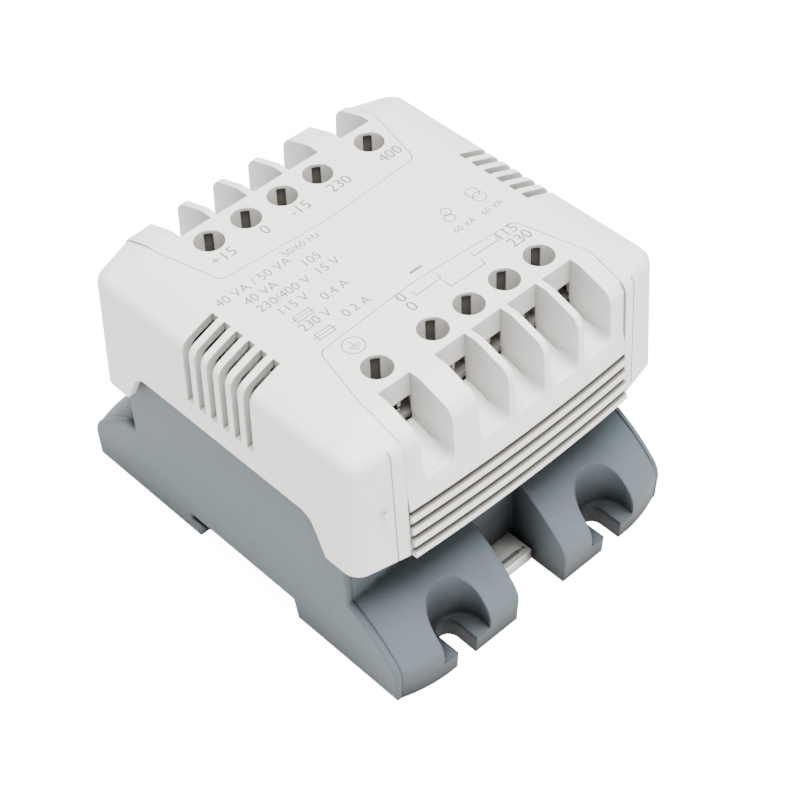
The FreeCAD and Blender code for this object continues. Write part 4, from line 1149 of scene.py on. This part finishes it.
    def stroke(self, work: bmesh.types.BMesh, points: Sequence[Point], top: float,
               weight: float = 1.0) -> None:
        """Adds a line of ink: each stretch a thin closed bar.

        Args:
            work: The mesh that the print is gathered in.
            points: The line's points on the surface in millimetres.
            top: Height of the surface.
            weight: Its width, in pen widths.
        """
        corners = np.array(points) * MM
        wide = self.line * weight
        for start, end in zip(corners[:-1], corners[1:]):
            way = end - start
            length = float(np.hypot(*way))
            size = Matrix.Diagonal((length + self.line, wide, 2 * self.height, 1.0))
            turn = Matrix.Rotation(math.atan2(way[1], way[0]), 4, "Z")
            place = Matrix.Translation((*((start + end) / 2), top))
            bmesh.ops.create_cube(work, size=1.0, matrix=place @ turn @ size)


@dataclass
class Studio:
    """The floor, the surround, the lamp and the camera."""

    azimuth: float = -41.79
    elevation: float = 45.85
    roll: float = -2.54
    lens: float = 92.69
    eye: Triple = (-218.66 * MM, -255.09 * MM, 371.19 * MM)
    floor_half: float = 3.0
    floor_tone: float = 0.95
    floor_roughness: float = 0.8
    floor_glow: float = 14.0
    sky_strength: float = 0.9
    lamp_place: Triple = (-0.02, -0.22, 1.24)
    lamp_aim: Triple = (0.0, 0.0, 0.03)
    lamp_size: float = 0.8
    lamp_power: float = 80.0

    def build(self) -> None:
        """Makes the floor, the surround, the lamp and the camera."""
        self.floor()
        self.sky()
        self.lamp()
        self.camera()

    def floor(self) -> None:
        """A plain pale floor, which looks white to the camera and lights nothing by that."""
        half = self.floor_half
        mesh = bpy.data.meshes.new("floor")
        mesh.from_pydata([(-half, -half, 0), (half, -half, 0), (half, half, 0), (-half, half, 0)], [],
                         [(0, 1, 2, 3)])
        made = bpy.data.objects.new("floor", mesh)
        bpy.context.scene.collection.objects.link(made)
        material = bpy.data.materials.new("floor")
        material.use_nodes = True
        tree = material.node_tree
        shader = tree.nodes["Principled BSDF"]
        shader.inputs["Base Color"].default_value = (*(self.floor_tone,) * 3, 1.0)
        shader.inputs["Roughness"].default_value = self.floor_roughness
        shader.inputs["Emission Color"].default_value = (1.0, 1.0, 1.0, 1.0)
        seen = wired(tree, "ShaderNodeLightPath").outputs["Is Camera Ray"]
        glow = wired(tree, "ShaderNodeMath", operation="MULTIPLY", i_0=seen, i_1=self.floor_glow)
        tree.links.new(glow.outputs[0], shader.inputs["Emission Strength"])
        mesh.materials.append(material)

    def sky(self) -> None:
        """An even white surround."""
        world = bpy.data.worlds.new("studio")
        world.use_nodes = True
        back = world.node_tree.nodes["Background"]
        back.inputs["Color"].default_value = (1.0, 1.0, 1.0, 1.0)
        back.inputs["Strength"].default_value = self.sky_strength
        bpy.context.scene.world = world

    def lamp(self) -> None:
        """A large soft square lamp above the part."""
        data = bpy.data.lights.new("key", "AREA")
        data.shape = "SQUARE"
        data.size = self.lamp_size
        data.energy = self.lamp_power
        made = bpy.data.objects.new("key", data)
        made.location = self.lamp_place
        made.rotation_mode = "QUATERNION"
        way = Vector(self.lamp_aim) - Vector(self.lamp_place)
        made.rotation_quaternion = way.to_track_quat("-Z", "Y")
        bpy.context.scene.collection.objects.link(made)

    def camera(self) -> None:
        """The camera, at the photograph's place and angle."""
        azimuth, elevation, roll = (math.radians(x) for x in (self.azimuth, self.elevation, self.roll))
        back = Vector((math.sin(azimuth) * math.cos(elevation), -math.cos(azimuth) * math.cos(elevation),
                       math.sin(elevation)))
        right = Vector((0, 0, 1)).cross(back).normalized()
        up = back.cross(right)
        across = math.cos(roll) * right + math.sin(roll) * up
        upward = -math.sin(roll) * right + math.cos(roll) * up
        data = bpy.data.cameras.new("camera")
        data.lens = self.lens
        made = bpy.data.objects.new("camera", data)
        turn = Matrix((across, upward, back)).transposed().to_4x4()
        made.matrix_world = Matrix.Translation(self.eye) @ turn
        bpy.context.scene.collection.objects.link(made)
        bpy.context.scene.camera = made


def main() -> None:
    """Builds the scene in order."""
    logging.basicConfig(level=logging.INFO, format="%(message)s")
    palette = Palette()
    Foot().build(palette)
    CoreAndCoil().build(palette)
    Terminals().build(palette)
    Case().build(palette)
    Print().build(palette, top=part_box("hood")[1].z)
    Studio().build()


if __name__ == "__main__":
    main()
